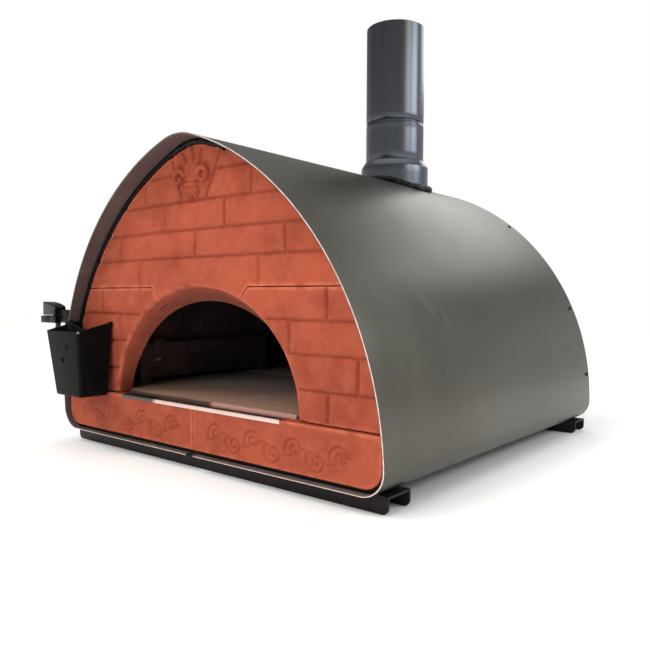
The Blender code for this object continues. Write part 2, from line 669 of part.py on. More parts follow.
def make_fire_guard(finish):
    """A low plate on feet that keeps the fire off the chamber's left wall, and its bolted strap."""
    x = -GUARD_OFFSET
    y = FACE_Y + GUARD_FRONT
    low = FLOOR_TOP + GUARD_LOW
    high = low + GUARD_HEIGHT
    steel = finish["chamber_steel"]
    face = x + GAP
    plate = prism_x("fire_guard", box_outline(y, y + GUARD_LENGTH, low, high), x - GUARD_SHEET, x, steel)
    strap_y = y + STRAP_SETBACK
    strap_low = high + STRAP_RISE - STRAP_HEIGHT
    outline = box_outline(strap_y, strap_y + STRAP_WIDTH, strap_low, high + STRAP_RISE)
    strap = prism_x("guard_bracket", outline, face, face + GUARD_SHEET, steel)
    through = 3 * GUARD_SHEET
    seat = face + GUARD_SHEET
    profile = [(GUARD_BOLT_RADIUS, -through), (GUARD_BOLT_RADIUS, GAP), (GUARD_BOLT_HEAD, GAP)]
    profile += [(GUARD_BOLT_HEAD, GUARD_SHEET)]
    hole = [(GUARD_BOLT_RADIUS + GAP, -through), (GUARD_BOLT_RADIUS + GAP, GUARD_SHEET)]
    for number in (1, 2):
        along = strap_y + GUARD_BOLT_HEAD + GAP + GUARD_BOLT_SPACING * (number - 1)
        origin = (seat, along, strap_low + GUARD_BOLT_RISE)
        turned(f"guard_bolt_{number}", profile, origin, (1, 0, 0), finish["bright_steel"], 12)
        cutter = turned(f"guard_bolt_hole_{number}", hole, origin, (1, 0, 0), steel, 12)
        cut(plate, cutter)
        cut(strap, cutter)
    rear = y + GUARD_LENGTH - GUARD_FOOT_WIDTH
    for row, start in (("front", y), ("rear", rear)):
        foot = box_outline(start, start + GUARD_FOOT_WIDTH, FLOOR_TOP + GAP, FLOOR_TOP + GUARD_FOOT_HEIGHT)
        prism_x(f"guard_foot_{row}", foot, face, face + 2 * GUARD_SHEET, steel)


# ---------------------------------------------------------------- flue
def make_flue(finish, casing, shell, blanket):
    """Outlet spigot, collar with its cone, sealant, lower sleeve and upper pipe."""
    enamel = finish["flue_enamel"]
    wall = FLUE_SHEET
    outlet_top = CASING_TOP + OUTLET_TOP
    collar_low = CASING_TOP + COLLAR_HEIGHT

    def outlet(angle):
        inner = OUTLET_RADIUS - wall
        low = roof_z(SHELL_INSET + SHELL_SHEET, OUTLET_RADIUS * cos(angle)) - OUTLET_DROP
        return [(OUTLET_RADIUS, low), (OUTLET_RADIUS, outlet_top), (inner, outlet_top), (inner, low)]

    def collar(angle):
        inner = COLLAR_RADIUS - wall
        outer_low = roof_z(0.0, COLLAR_RADIUS * cos(angle)) + 2 * GAP
        inner_low = roof_z(0.0, inner * cos(angle)) + 2 * GAP
        return [
            (COLLAR_RADIUS, outer_low), (COLLAR_RADIUS, collar_low), (FLUE_RADIUS, COLLAR_TOP),
            (FLUE_RADIUS - wall, COLLAR_TOP), (inner, collar_low - wall / 2), (inner, inner_low),
        ]

    def sealant(angle):
        foot = COLLAR_RADIUS + GAP
        edge = foot + SEALANT_WIDTH
        bulge = (edge - SEALANT_WIDTH / 4, SEALANT_HEIGHT * 0.6)
        fillet = ((foot, 2 * GAP), (edge, 2 * GAP), bulge, (foot, SEALANT_HEIGHT))
        return [(r, roof_z(0.0, r * cos(angle)) + rise) for r, rise in fillet]

    def sleeve(angle):
        low = COLLAR_TOP + GAP
        inner = FLUE_RADIUS - wall
        start = (FLUE_RADIUS, SLEEVE_TOP - SLEEVE_SHOULDER)
        turn = (FLUE_RADIUS - wall * 0.3, SLEEVE_TOP - SLEEVE_SHOULDER * 0.4)
        top = (FLUE_RADIUS - wall * 0.8, SLEEVE_TOP)
        return [(FLUE_RADIUS, low), start, turn, top, (inner, SLEEVE_TOP), (inner, low)]

    def pipe(angle):
        low = SLEEVE_TOP + GAP
        slim = FLUE_RADIUS - wall - 2 * GAP
        inner = slim - wall
        outside = [(slim, low - PIPE_INSERT), (slim, low), (FLUE_RADIUS, low), (FLUE_RADIUS, FLUE_TOP)]
        bore = FLUE_RADIUS - wall
        inside = [(bore, FLUE_TOP), (bore, low + wall), (inner, low + wall), (inner, low - PIPE_INSERT)]
        return outside + inside

    tube("flue_outlet", outlet, enamel)
    tube("flue_collar", collar, enamel)
    tube("flue_sealant", sealant, finish["gasket"])
    tube("flue_sleeve", sleeve, enamel)
    tube("flue_pipe", pipe, enamel)
    hole = [(OUTLET_RADIUS + GAP, CASING_TOP - SHELL_INSET * 3), (OUTLET_RADIUS + GAP, outlet_top)]
    cutter = turned("flue_hole", hole, (0, FLUE_Y, 0), (0, 0, 1), enamel, ROUND)
    for piece in (casing, shell, blanket):
        cut(piece, cutter)


# ---------------------------------------------------------------- pocket and clamp
def make_pocket(finish):
    """An open-topped sheet pocket that narrows downwards."""
    front = FACE_Y - POCKET_FRONT
    low = CASING_BOTTOM + POCKET_BOTTOM
    top = CASING_BOTTOM + POCKET_TOP
    rise = top + POCKET_REAR_RISE
    sheet = POCKET_SHEET
    enamel = finish["pocket_enamel"]

    def plan(level, wall, z_front, z_rear):
        """Corners at a level: 0 at the bottom, 1 at the top, beyond 1 above it."""
        left = -(POCKET_LEFT_BOTTOM + (POCKET_LEFT_TOP - POCKET_LEFT_BOTTOM) * level)
        width = POCKET_BOTTOM_WIDTH + (POCKET_TOP_WIDTH - POCKET_BOTTOM_WIDTH) * level
        depth = POCKET_BOTTOM_DEPTH + (POCKET_TOP_DEPTH - POCKET_BOTTOM_DEPTH) * level
        x_low = left + wall
        x_high = left + width - wall
        y_high = front + depth - wall
        near = [(x_low, front + wall, z_front), (x_high, front + wall, z_front)]
        return near + [(x_high, y_high, z_rear), (x_low, y_high, z_rear)]

    pocket = loft("pocket", [plan(0, 0, low, low), plan(1, 0, top, rise)], enamel)
    base = sheet / (top - low)
    over = 1 + 2 * POCKET_REAR_RISE / (top - low)
    above = top + 2 * POCKET_REAR_RISE
    floor = low + sheet
    inside = [plan(base, sheet, floor, floor), plan(over, sheet, above, above + POCKET_REAR_RISE)]
    cut(pocket, loft("pocket_inside", inside, enamel))
    between = -POCKET_LEFT_TOP, POCKET_TOP_WIDTH - POCKET_LEFT_TOP
    rear = front + POCKET_TOP_DEPTH
    opening = box_outline(between[0] + 3 * sheet, between[1] - 3 * sheet, rear - 3.3 * sheet, rear + sheet)
    cut(pocket, prism_z("pocket_rear_opening", opening, top, above, enamel))
    left = -POCKET_LEFT_TOP
    for number, (offset, level) in enumerate(POCKET_SCREWS, 1):
        origin = (left + offset, front, CASING_BOTTOM + level)
        turned(f"pocket_screw_{number}", screw_profile(), origin, (0, -1, 0), finish["clamp_plastic"], 12)
        hole = [(SCREW_RADIUS + GAP, -SCREW_LENGTH), (SCREW_RADIUS + GAP, SCREW_RADIUS)]
        cut(pocket, turned(f"pocket_screw_hole_{number}", hole, origin, (0, -1, 0), enamel, 12))
    return pocket


def pocket_left(z):
    """Outer face of the pocket's left wall at a height."""
    share = (z - CASING_BOTTOM - POCKET_BOTTOM) / (POCKET_TOP - POCKET_BOTTOM)
    return -(POCKET_LEFT_BOTTOM + (POCKET_LEFT_TOP - POCKET_LEFT_BOTTOM) * share)


def make_hanger(finish, pocket):
    """Hanger round the casing's edge and its tab. Returns the web's rear face, leg and tab top."""
    top = CASING_BOTTOM + POCKET_TOP + POCKET_REAR_RISE + HANGER_RISE
    low = top - HANGER_HEIGHT
    sheet = HANGER_SHEET
    enamel = finish["pocket_enamel"]
    outside = -side_x(0.0, low) - CLAMP_CLEARANCE
    inside = -side_x(0.0, top) + CASING_SHEET + CLAMP_CLEARANCE
    web = front_edge(top) - CLAMP_CLEARANCE
    back = web - sheet
    leg = web + HANGER_LEG
    hook = web + HANGER_HOOK
    reach = HANGER_REACH - POCKET_LEFT_TOP
    section = [(outside - sheet, back), (reach, back), (reach, web), (inside + sheet, web)]
    section += [(inside + sheet, hook), (inside, hook), (inside, web)]
    section += [(outside, web), (outside, leg), (outside - sheet, leg)]
    hanger = prism_z("hanger", section, low, top, enamel)
    past = 2 * TAB_LENGTH
    shoulder = outside + HANGER_SHOULDER
    profile = [(outside - past, low + HANGER_LEG_HEIGHT), (outside + sheet, low + HANGER_LEG_HEIGHT)]
    profile += [(outside + sheet, top - sheet), (shoulder, top - sheet), (reach, low + HANGER_TIP_HEIGHT)]
    profile += [(reach + sheet, low + HANGER_TIP_HEIGHT), (reach + sheet, top + sheet)]
    profile += [(outside - past, top + sheet)]
    cut(hanger, prism_y("hanger_profile", profile, back - sheet, leg + sheet, enamel))
    past_wall = pocket_left(low) + 3 * sheet
    slot = box_outline(outside - past, past_wall, back - CURVE_GAP, hook + CURVE_GAP)
    cut(pocket, prism_z("hanger_slot", slot, low - CURVE_GAP, top + HANGER_HEIGHT, enamel))
    tab_low = low + TAB_RISE
    edge = outside - sheet
    tab = box_outline(edge - GAP - TAB_LENGTH, edge - GAP, web + sheet, leg)
    prism_z("hanger_tab", tab, tab_low, tab_low + sheet, finish["bright_steel"])
    return web, edge, tab_low + sheet


def make_clamp(finish, web, edge, tab_top):
    """Stem, block with its tongue and arm, bar, and lever on its pin."""
    plastic = finish["clamp_plastic"]
    middle = web + CLAMP_SETBACK
    stem_x = edge - STEM_OFFSET
    low = tab_top + CLAMP_RISE
    top = low + BLOCK_HEIGHT
    y_low = middle - CLAMP_DEPTH / 2
    y_high = middle + CLAMP_DEPTH / 2
    seat = tab_top + GAP
    stem = [(STEM_RADIUS * 1.5, seat), (STEM_RADIUS * 1.5, seat + STEM_FLANGE)]
    stem += [(STEM_RADIUS, seat + STEM_FLANGE), (STEM_RADIUS, low + STEM_ENGAGED)]
    turned("stem", stem, (stem_x, middle, 0), (0, 0, 1), finish["chamber_steel"], 20)

    left = stem_x - BLOCK_LEFT
    right = stem_x + BLOCK_RIGHT
    block = prism_y("clamp_block", box_outline(left, right, low, top), y_low, y_high, plastic)
    pin_x = right - TONGUE_RADIUS
    pin_z = top + PIN_RISE
    tongue = [(right, top - PIN_RADIUS), *arc(pin_x, pin_z, TONGUE_RADIUS, 0, pi, 8)]
    tongue += [(pin_x - TONGUE_RADIUS, top - PIN_RADIUS)]
    tongue_half = TONGUE_DEPTH / 2
    join(block, prism_y("tongue", tongue, middle - tongue_half, middle + tongue_half, plastic))

    # the arm stops just short of the casing when the clamp turns
    tip_low = low + ARM_TOP - ARM_TIP_HEIGHT
    swing = -side_x(0.0, tip_low) - CLAMP_CLEARANCE - stem_x
    tip = stem_x + sqrt(swing ** 2 - (ARM_SHEET / 2) ** 2)
    arm = [(right - TONGUE_RADIUS, low), (right, low), (tip, tip_low), (tip, low + ARM_TOP)]
    arm += [(right - TONGUE_RADIUS, low + ARM_TOP)]
    join(block, prism_y("arm", arm, middle - ARM_SHEET / 2, middle + ARM_SHEET / 2, plastic))

    bore = [(STEM_RADIUS + GAP, low - STEM_ENGAGED), (STEM_RADIUS + GAP, low + STEM_ENGAGED + GAP)]
    cut(block, turned("stem_bore", bore, (stem_x, middle, 0), (0, 0, 1), plastic, 20))
    across = [(ARM_EYE_RADIUS, -CLAMP_DEPTH), (ARM_EYE_RADIUS, CLAMP_DEPTH)]
    eye = (right + ARM_EYE[0], middle, low + ARM_EYE[1])
    cut(block, turned("clamp_eye", across, eye, (0, 1, 0), plastic, 12))
    hole = [(PIN_RADIUS + GAP, -CLAMP_DEPTH), (PIN_RADIUS + GAP, CLAMP_DEPTH)]
    cut(block, turned("tongue_hole", hole, (pin_x, middle, pin_z), (0, 1, 0), plastic, 12))
    bar = box_outline(left - GAP - BAR_LENGTH, left - GAP, low, top)
    prism_y("clamp_bar", bar, y_low, y_high, plastic)

    lever = make_lever(finish, right, top + CLAMP_CLEARANCE, middle, pin_x, pin_z)
    cut(lever, turned("lever_pin_hole", hole, (pin_x, middle, pin_z), (0, 1, 0), plastic, 12))
    pin = [(PIN_RADIUS, -CLAMP_DEPTH / 2), (PIN_RADIUS, CLAMP_DEPTH / 2)]
    turned("lever_pin", pin, (pin_x, middle, pin_z), (0, 1, 0), finish["bright_steel"], 12)


def make_lever(finish, right, base, middle, pin_x, pin_z):
    """A lever with a rounded top over the bar, forked round the block's tongue."""
    plastic = finish["clamp_plastic"]
    left = right - LEVER_LENGTH
    high = base + LEVER_HEIGHT
    end = high - LEVER_FALL
    heel = pin_z - base - CLAMP_CLEARANCE / 2
    outline = [(left, base), (pin_x, base), (right, pin_z - sqrt(heel ** 2 - TONGUE_RADIUS ** 2))]
    outline += [(right, pin_z), (pin_x + TONGUE_RADIUS * cos(pi / 4), pin_z + TONGUE_RADIUS * sin(pi / 4))]
    for i in range(7):
        share = i / 6
        outline.append((pin_x + (left - pin_x) * share, end + LEVER_FALL * sin(share * pi / 2)))
    y_low = middle - CLAMP_DEPTH / 2
    y_high = middle + CLAMP_DEPTH / 2
    lever = prism_y("lever", outline, y_low, y_high, plastic)
    slack = TONGUE_DEPTH / 2 + CLAMP_CLEARANCE / 2
    slot_left = pin_x - TONGUE_RADIUS - 1.5 * CLAMP_CLEARANCE
    slot = box_outline(slot_left, right + TONGUE_RADIUS, base - TONGUE_RADIUS, high + TONGUE_RADIUS)
    cut(lever, prism_y("lever_slot", slot, middle - slack, middle + slack, plastic))
    return lever


# ---------------------------------------------------------------- the whole oven
def build():
    """Makes every piece of the oven."""
    clear_scene()
    finish = make_materials()
    casing = make_casing(finish)
    panel = make_rear_panel(finish)
    make_casing_screws(finish, casing, panel)
    board = make_board(finish)
    feet = make_feet(finish)
    make_foot_bolts(finish, feet, casing, board)
    make_front(finish)
    make_gasket(finish)
    make_hearth_strip(finish)
    make_tiles(finish)
    shell, blanket = make_chamber(finish)
    make_fire_guard(finish)
    make_flue(finish, casing, shell, blanket)
    pocket = make_pocket(finish)
    web, edge, tab_top = make_hanger(finish, pocket)
    make_clamp(finish, web, edge, tab_top)


build()
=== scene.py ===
from math import atan2, cos, hypot, pi, radians, sin, sqrt

import bmesh
import bpy
import numpy as np
from mathutils import Matrix, Vector, kdtree, noise


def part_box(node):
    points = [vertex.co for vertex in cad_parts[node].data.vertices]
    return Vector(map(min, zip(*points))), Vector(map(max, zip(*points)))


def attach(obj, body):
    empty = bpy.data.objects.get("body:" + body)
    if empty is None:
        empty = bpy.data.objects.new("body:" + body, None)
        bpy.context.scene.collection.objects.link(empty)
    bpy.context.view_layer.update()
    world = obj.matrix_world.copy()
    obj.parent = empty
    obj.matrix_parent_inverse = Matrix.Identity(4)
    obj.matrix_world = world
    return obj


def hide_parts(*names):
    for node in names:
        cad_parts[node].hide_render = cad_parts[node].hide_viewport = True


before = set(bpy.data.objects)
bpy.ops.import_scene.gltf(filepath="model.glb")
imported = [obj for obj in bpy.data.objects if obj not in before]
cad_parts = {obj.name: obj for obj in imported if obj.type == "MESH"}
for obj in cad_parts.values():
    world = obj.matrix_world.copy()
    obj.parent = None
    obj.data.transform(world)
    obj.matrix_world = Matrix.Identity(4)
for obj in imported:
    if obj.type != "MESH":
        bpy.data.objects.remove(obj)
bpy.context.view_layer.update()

# The visible oven: bent casing sheet, cast terracotta front, tiled floor, flue and clip-on pocket.
# Metres, +Z up, front towards -Y. Places come from the CAD parts' boxes.


# ---------------------------------------------------------------- sizes
CORNER_RADIUS = 0.048        # casing's lower corners
CROWN_RADIUS = 0.144
SHEET = 0.003
FRONT_OVERHANG = 0.030       # how far the casing's front edge leans out, bottom to crown
REAR_OVERHANG = 0.017
HEM = 0.0007                 # rounding of the sheet's cut edges
BRIGHT_RIM = 0.0014          # bare part of the cut edge, the rest is covered by the lining
DENT = 0.00035               # waviness of the rolled sheet

FRONT_INSET = 0.0105         # terracotta edge behind the casing's outer surface
ARRIS = 0.0032               # rounding of the cast blocks' edges
SEAT_GAP = 0.0003            # under a screw's or a bolt's head
BLOCK_JOINT = 0.0016
MOUTH_HALF_WIDTH = 0.277
MOUTH_HEIGHT = 0.240
MOUTH_TAPER_TOP = 0.883      # reveal's rear height over its front height
MOUTH_TAPER_SIDES = (1.010, 0.950)   # and its width, at the floor and from the shoulders up
MOUTH_SOFTNESS = 0.0045      # extra rounding of the mouth's front edge
CHAMFER_OUTER = 0.149
CHAMFER_INNER = 0.124
JOINT_STEP = 0.026           # jog of the joint half way through the reveal

JOINT_DEPTH = 0.0044         # moulded brick joints
JOINT_WIDTH = 0.0052
COURSES = (0.603, 0.545, 0.487, 0.431, 0.371, 0.311, 0.251, 0.189, 0.131)
UPRIGHTS = (                 # upright joints of each course, from the top course down
    (-0.170, 0.156), (-0.103, 0.083), (-0.265, -0.005, 0.243), (-0.193, 0.175),
    (-0.340, 0.340), (-0.271, 0.253), (-0.407, 0.407), (-0.343, 0.343),
)
EMBLEM = (-0.011, 0.577)     # tie of the moulded palmette
EMBLEM_RELIEF = 0.0105

low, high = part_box("outer_casing")
HALF_WIDTH = high.x
CASING_BOTTOM = low.z
CASING_TOP = high.z
CASING_HEIGHT = CASING_TOP - CASING_BOTTOM
CASING_FRONT = low.y + FRONT_OVERHANG
CASING_REAR = high.y - REAR_OVERHANG
CORNER_X = HALF_WIDTH - CORNER_RADIUS
CORNER_Z = CASING_BOTTOM + CORNER_RADIUS
CROWN_RISE = CASING_HEIGHT - CORNER_RADIUS - CROWN_RADIUS
SIDE_RADIUS = (HALF_WIDTH ** 2 - CROWN_RADIUS ** 2 + CROWN_RISE ** 2) / (2 * (HALF_WIDTH - CROWN_RADIUS))
SIDE_X = HALF_WIDTH - SIDE_RADIUS
CROWN_Z = CORNER_Z + CROWN_RISE
CROWN_ANGLE = atan2(CROWN_RISE, -SIDE_X)

FACE_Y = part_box("front_top_block")[0].y
FRONT_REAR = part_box("front_top_block")[1].y
SILL_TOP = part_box("sill_left")[1].z
BLOCK_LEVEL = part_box("front_left_jamb")[1].z + BLOCK_JOINT
SILL_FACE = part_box("sill_left")[0].y
SILL_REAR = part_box("sill_left")[1].y
FLUE_Y = (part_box("flue_pipe")[0].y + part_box("flue_pipe")[1].y) / 2
FLUE_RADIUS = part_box("flue_pipe")[1].x
COLLAR_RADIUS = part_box("flue_collar")[1].x
CHIP = (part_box("pocket")[1].x - 0.010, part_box("pocket")[0].y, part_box("pocket")[1].z - 0.022)


# ---------------------------------------------------------------- shader maths
class Value:
    """A shader socket that takes part in Python arithmetic."""

    def __init__(self, tree, socket):
        self.tree = tree
        self.socket = socket

    def maths(self, operation, *others):
        node = self.tree.nodes.new("ShaderNodeMath")
        node.operation = operation
        for entry, other in zip(node.inputs, others):
            if isinstance(other, Value):
                self.tree.links.new(other.socket, entry)
            else:
                entry.default_value = other
        return Value(self.tree, node.outputs[0])

    def __add__(self, other):
        return self.maths("ADD", self, other)

    def __radd__(self, other):
        return self.maths("ADD", other, self)

    def __sub__(self, other):
        return self.maths("SUBTRACT", self, other)

    def __rsub__(self, other):
        return self.maths("SUBTRACT", other, self)

    def __mul__(self, other):
        return self.maths("MULTIPLY", self, other)

    def __rmul__(self, other):
        return self.maths("MULTIPLY", other, self)

    def __truediv__(self, other):
        return self.maths("DIVIDE", self, other)

    def step(self, low, high):
        """Rises smoothly from 0 at low to 1 at high; falls where high is the smaller."""
        node = self.tree.nodes.new("ShaderNodeMapRange")
        node.interpolation_type = "SMOOTHSTEP"
        self.tree.links.new(self.socket, node.inputs["Value"])
        falls = high < low
        ends = (high, low) if falls else (low, high)
        for name, number in zip(("From Min", "From Max"), ends):
            node.inputs[name].default_value = number
        for name, number in zip(("To Min", "To Max"), (1, 0) if falls else (0, 1)):
            node.inputs[name].default_value = number
        return Value(self.tree, node.outputs["Result"])


class Graph:
    """A node tree under construction."""

    def __init__(self, tree):
        self.tree = tree

    def node(self, kind, settings=None, **sockets):
        """Adds a node: its settings first, then its sockets' values or links."""
        node = self.tree.nodes.new(kind)
        for name, setting in (settings or {}).items():
            setattr(node, name, setting)
        for name, source in sockets.items():
            self.feed(node.inputs[name.replace("_", " ")], source)
        return node

    def feed(self, entry, source):
        if isinstance(source, Value):
            source = source.socket
        if isinstance(source, bpy.types.NodeSocket):
            self.tree.links.new(source, entry)
        else:
            entry.default_value = source


class Finish(Graph):
    """One material under construction."""

    def __init__(self, name, **constants):
        self.material = bpy.data.materials.new(name)
        self.material.use_nodes = True
        super().__init__(self.material.node_tree)
        self.shader = self.tree.nodes["Principled BSDF"]
        for socket, number in constants.items():
            self.shader.inputs[socket.replace("_", " ")].default_value = number
        self.place = self.node("ShaderNodeTexCoord").outputs["Object"]

    def set(self, name, source):
        self.feed(self.shader.inputs[name], source)

    def stretched(self, scale):
        return self.node("ShaderNodeMapping", Vector=self.place, Scale=scale).outputs[0]

    def noise(self, scale, detail=3.0, roughness=0.5, place=None, warp=0.0):
        node = self.node(
            "ShaderNodeTexNoise", Vector=place or self.place, Scale=scale,
            Detail=detail, Roughness=roughness, Distortion=warp,
        )
        return Value(self.tree, node.outputs[0])

    def cells(self, scale, feature="F1", place=None):
        node = self.node(
            "ShaderNodeTexVoronoi", {"feature": feature}, Vector=place or self.place, Scale=scale,
        )
        return Value(self.tree, node.outputs["Distance"])

    def axis(self, letter):
        node = self.node("ShaderNodeSeparateXYZ", Vector=self.place)
        return Value(self.tree, node.outputs[letter])

    def attribute(self, name):
        node = self.node("ShaderNodeAttribute", {"attribute_name": name})
        return Value(self.tree, node.outputs["Fac"])

    def mix(self, factor, first, second):
        """Mixes two colours."""
        node = self.tree.nodes.new("ShaderNodeMix")
        node.data_type = "RGBA"
        self.feed(node.inputs[0], factor)
        for entry, source in ((node.inputs[6], first), (node.inputs[7], second)):
            self.feed(entry, (*source, 1) if isinstance(source, tuple) else source)
        return node.outputs[2]

    def bump(self, height, distance, strength=1.0):
        node = self.node("ShaderNodeBump", Height=height, Distance=distance, Strength=strength)
        self.set("Normal", node.outputs[0])


# ---------------------------------------------------------------- finishes
def casing_paint():
    """Anthracite metallic paint: fine flakes, faint rolling marks and handling smudges."""
    f = Finish("casing_paint", Metallic=0.90)
    flakes = f.noise(1500, 2, 0.75)
    clouds = f.noise(2.2, 4, 0.55, warp=0.4)
    rolling = f.noise(6, 3, 0.5, f.stretched((0.5, 6.0, 0.5)))
    smudges = f.noise(9, 5, 0.65, warp=1.2).step(0.56, 0.74)
    shade = clouds * 0.4 + rolling * 0.15 + flakes * 0.45
    colour = f.mix(shade.step(0.30, 0.70), (0.072, 0.067, 0.055), (0.118, 0.110, 0.091))
    f.set("Base Color", f.mix(smudges * 0.25, colour, (0.140, 0.130, 0.112)))
    f.set("Roughness", 0.30 + rolling * 0.05 + smudges * 0.07 + flakes * 0.06)
    f.bump(flakes * 0.7 + rolling * 0.3, 0.00014, 0.40)
    return f.material


def casing_lining():
    """The sheet's inner side: thin dull primer, its reddish tint a painted reflection of the clay."""
    f = Finish("casing_lining", Metallic=0.35, Specular_IOR_Level=0.3)
    grain = f.noise(500, 3, 0.6)
    blotch = f.noise(8, 5, 0.6, warp=0.7)
    # painted reflection: both tones are reddish brown, standing in for the terracotta mirrored in the lip
    colour = f.mix(blotch.step(0.3, 0.7), (0.120, 0.092, 0.086), (0.175, 0.142, 0.134))
    f.set("Base Color", f.mix(grain.step(0.4, 0.8) * 0.3, colour, (0.060, 0.048, 0.045)))
    f.set("Roughness", 0.48 + grain * 0.12)
    f.bump(grain, 0.00015, 0.3)
    return f.material


def cut_edge():
    """The sheet's bare cut edge: a painted highlight makes it bright along the right and below; dull on the
    left.
    """
    f = Finish("cut_edge", Metallic=0.55)
    wear = f.noise(90, 4, 0.6)
    # painted highlight: the edge turns bright towards +X, where it would catch the light from the right
    side = f.axis("X").step(0.00, 0.09)
    dull = f.mix(wear.step(0.35, 0.7), (0.07, 0.055, 0.05), (0.16, 0.13, 0.12))
    bright = f.mix(wear.step(0.25, 0.6), (0.62, 0.42, 0.38), (0.90, 0.74, 0.68))
    # painted highlight along the bottom edge as well
    low = f.axis("Z").step(0.075, 0.060)
    f.set("Base Color", f.mix(side.maths("MAXIMUM", side, low), dull, bright))
    f.set("Roughness", 0.30 + wear * 0.25)
    f.bump(wear, 0.0002, 0.4)
    return f.material


def black_steel():
    """Black paint on folded steel, rubbed brown here and there."""
    f = Finish("black_steel", Specular_IOR_Level=0.25)
    grain = f.noise(700, 3, 0.6)
    rub = f.noise(16, 5, 0.6, warp=0.6).step(0.52, 0.75)
    f.set("Base Color", f.mix(rub * 0.6, (0.0085, 0.0042, 0.0042), (0.026, 0.014, 0.012)))
    f.set("Roughness", 0.42 + grain * 0.12 + rub * 0.08)
    f.bump(grain, 0.00015, 0.4)
    return f.material


def terracotta():
    """Cast terracotta: mottled red clay, darker joints, pale edges, air bubbles and dust; painted shade round
    the palmette, and soot with painted shade deep in the mouth's reveal.
    """
    f = Finish("terracotta", Specular_IOR_Level=0.28)
    cavity = f.attribute("cavity")
    edge = f.attribute("edge")
    clouds = f.noise(7, 5, 0.6, warp=0.5)
    mottle = f.noise(38, 5, 0.62)
    fine = f.noise(420, 4, 0.65)
    streak = f.noise(14, 4, 0.6, f.stretched((1.0, 1.0, 0.25)), warp=0.4)
    colour = f.mix(clouds.step(0.30, 0.70), (0.245, 0.046, 0.023), (0.360, 0.070, 0.034))
    colour = f.mix(mottle.step(0.35, 0.75) * 0.60, colour, (0.390, 0.090, 0.048))
    colour = f.mix(streak.step(0.60, 0.78) * 0.40, colour, (0.255, 0.047, 0.026))
    dust = (f.noise(22, 6, 0.7).step(0.56, 0.80) * 0.30)
    colour = f.mix(dust, colour, (0.520, 0.190, 0.125))
    # darker joints and incised lines; round the palmette this darkening is painted shade
    colour = f.mix(cavity.step(0.35, 1.0) * 0.50, colour, (0.190, 0.034, 0.018))
    colour = f.mix(edge * mottle.step(0.25, 0.6) * 0.55, colour, (0.680, 0.190, 0.105))
    patches = f.noise(11, 3, 0.5).step(0.46, 0.62)
    bubbles = f.cells(58).step(0.085, 0.050) * patches
    pinholes = f.cells(150).step(0.10, 0.05) * f.noise(17, 2, 0.5).step(0.50, 0.66)
    holes = bubbles.maths("MAXIMUM", bubbles, pinholes)
    # soot and painted shade on the mouth's reveal, from the blocks' attribute
    soot_and_shade = f.attribute("soot_and_shade") * (0.75 + clouds * 0.4)
    colour = f.mix(soot_and_shade.maths("MINIMUM", soot_and_shade, 1.0), colour, (0.110, 0.030, 0.019))
    f.set("Base Color", f.mix(holes * 0.8, colour, (0.13, 0.024, 0.015)))
    f.set("Roughness", 0.80 + mottle * 0.12)
    grains = f.noise(1100, 2, 0.5)
    f.bump(fine * 0.30 + grains * 0.12 + mottle * 0.40 - holes * 1.1, 0.0011, 0.75)
    return f.material


def refractory():
    """Floor tiles: sandy at the mouth, browned and sooted towards the back, with a paler pink front rim whose
    left part is painted shade.
    """
    f = Finish("refractory", Specular_IOR_Level=0.25)
    grains = f.noise(650, 3, 0.7)
    stains = f.noise(13, 5, 0.6, warp=0.8)
    back = f.axis("Y") + stains * 0.16 - 0.08
    right = f.axis("X").step(-0.30, 0.25)
    sand = f.mix(grains.step(0.3, 0.7), (0.185, 0.104, 0.070), (0.320, 0.196, 0.140))
    sand = f.mix(stains.step(0.45, 0.75) * 0.5, sand, (0.125, 0.072, 0.050))
    sooted = f.mix(grains.step(0.35, 0.8), (0.250, 0.205, 0.198), (0.470, 0.400, 0.385))
    soot = back.step(0.04, 0.42) * (1.0 - right * 0.25)
    colour = f.mix(soot, sand, sooted)
    rim = f.axis("Y").step(0.0115, 0.0045)
    rim_and_painted_shade = f.mix(grains.step(0.3, 0.6), (0.24, 0.125, 0.098), (0.52, 0.30, 0.25))
    # painted shade: the left tiles' front rim is darkened as if it lay in shadow
    rim_and_painted_shade = f.mix(f.axis("X").step(0.035, 0.015), rim_and_painted_shade, (0.040, 0.026, 0.022))
    colour = f.mix(rim * 0.85, colour, rim_and_painted_shade)
    specks = f.cells(90).step(0.10, 0.05) * stains.step(0.45, 0.6)
    f.set("Base Color", f.mix(specks * 0.6, colour, (0.42, 0.34, 0.30)))
    f.set("Roughness", 0.86 + grains * 0.08)
    f.bump(grains * 0.6 + f.noise(150, 4, 0.6) * 0.6, 0.0009, 0.7)
    return f.material


def chamber_steel():
    """Stainless steel blackened by fire, with a reddish heat bloom low down."""
    f = Finish("chamber_steel", Metallic=0.55)
    soot = f.noise(5, 6, 0.6, warp=0.7)
    grain = f.noise(260, 4, 0.7)
    bloom = f.axis("Z").step(0.40, 0.18) * soot.step(0.3, 0.7)
    colour = f.mix(soot.step(0.3, 0.75), (0.045, 0.040, 0.043), (0.110, 0.098, 0.102))
    f.set("Base Color", f.mix(bloom * 0.6, colour, (0.200, 0.070, 0.058)))
    f.set("Roughness", 0.50 + soot * 0.25)
    f.bump(grain * 0.5 + soot * 0.5, 0.0006, 0.4)
    return f.material


def bright_steel(name, tint):
    """Brushed stainless steel with fine lines along the strip and a few dull spots."""
    f = Finish(name, Metallic=1.0)
    lines = f.noise(900, 2, 0.6, f.stretched((0.02, 1.0, 1.0)))
    spots = f.noise(45, 5, 0.65).step(0.5, 0.8)
    dark = tuple(channel * 0.72 for channel in tint)
    colour = f.mix(lines.step(0.3, 0.7) * 0.5 + spots * 0.3, tint, dark)
    if name == "strip_steel":
        # darker towards the strip's left end
        darker_left_end = f.axis("X").step(-0.115, -0.135)
        colour = f.mix(darker_left_end, colour, (0.105, 0.092, 0.088))
    f.set("Base Color", colour)
    f.set("Roughness", 0.24 + lines * 0.12 + spots * 0.15)
    f.bump(lines, 0.00008, 0.3)
    return f.material


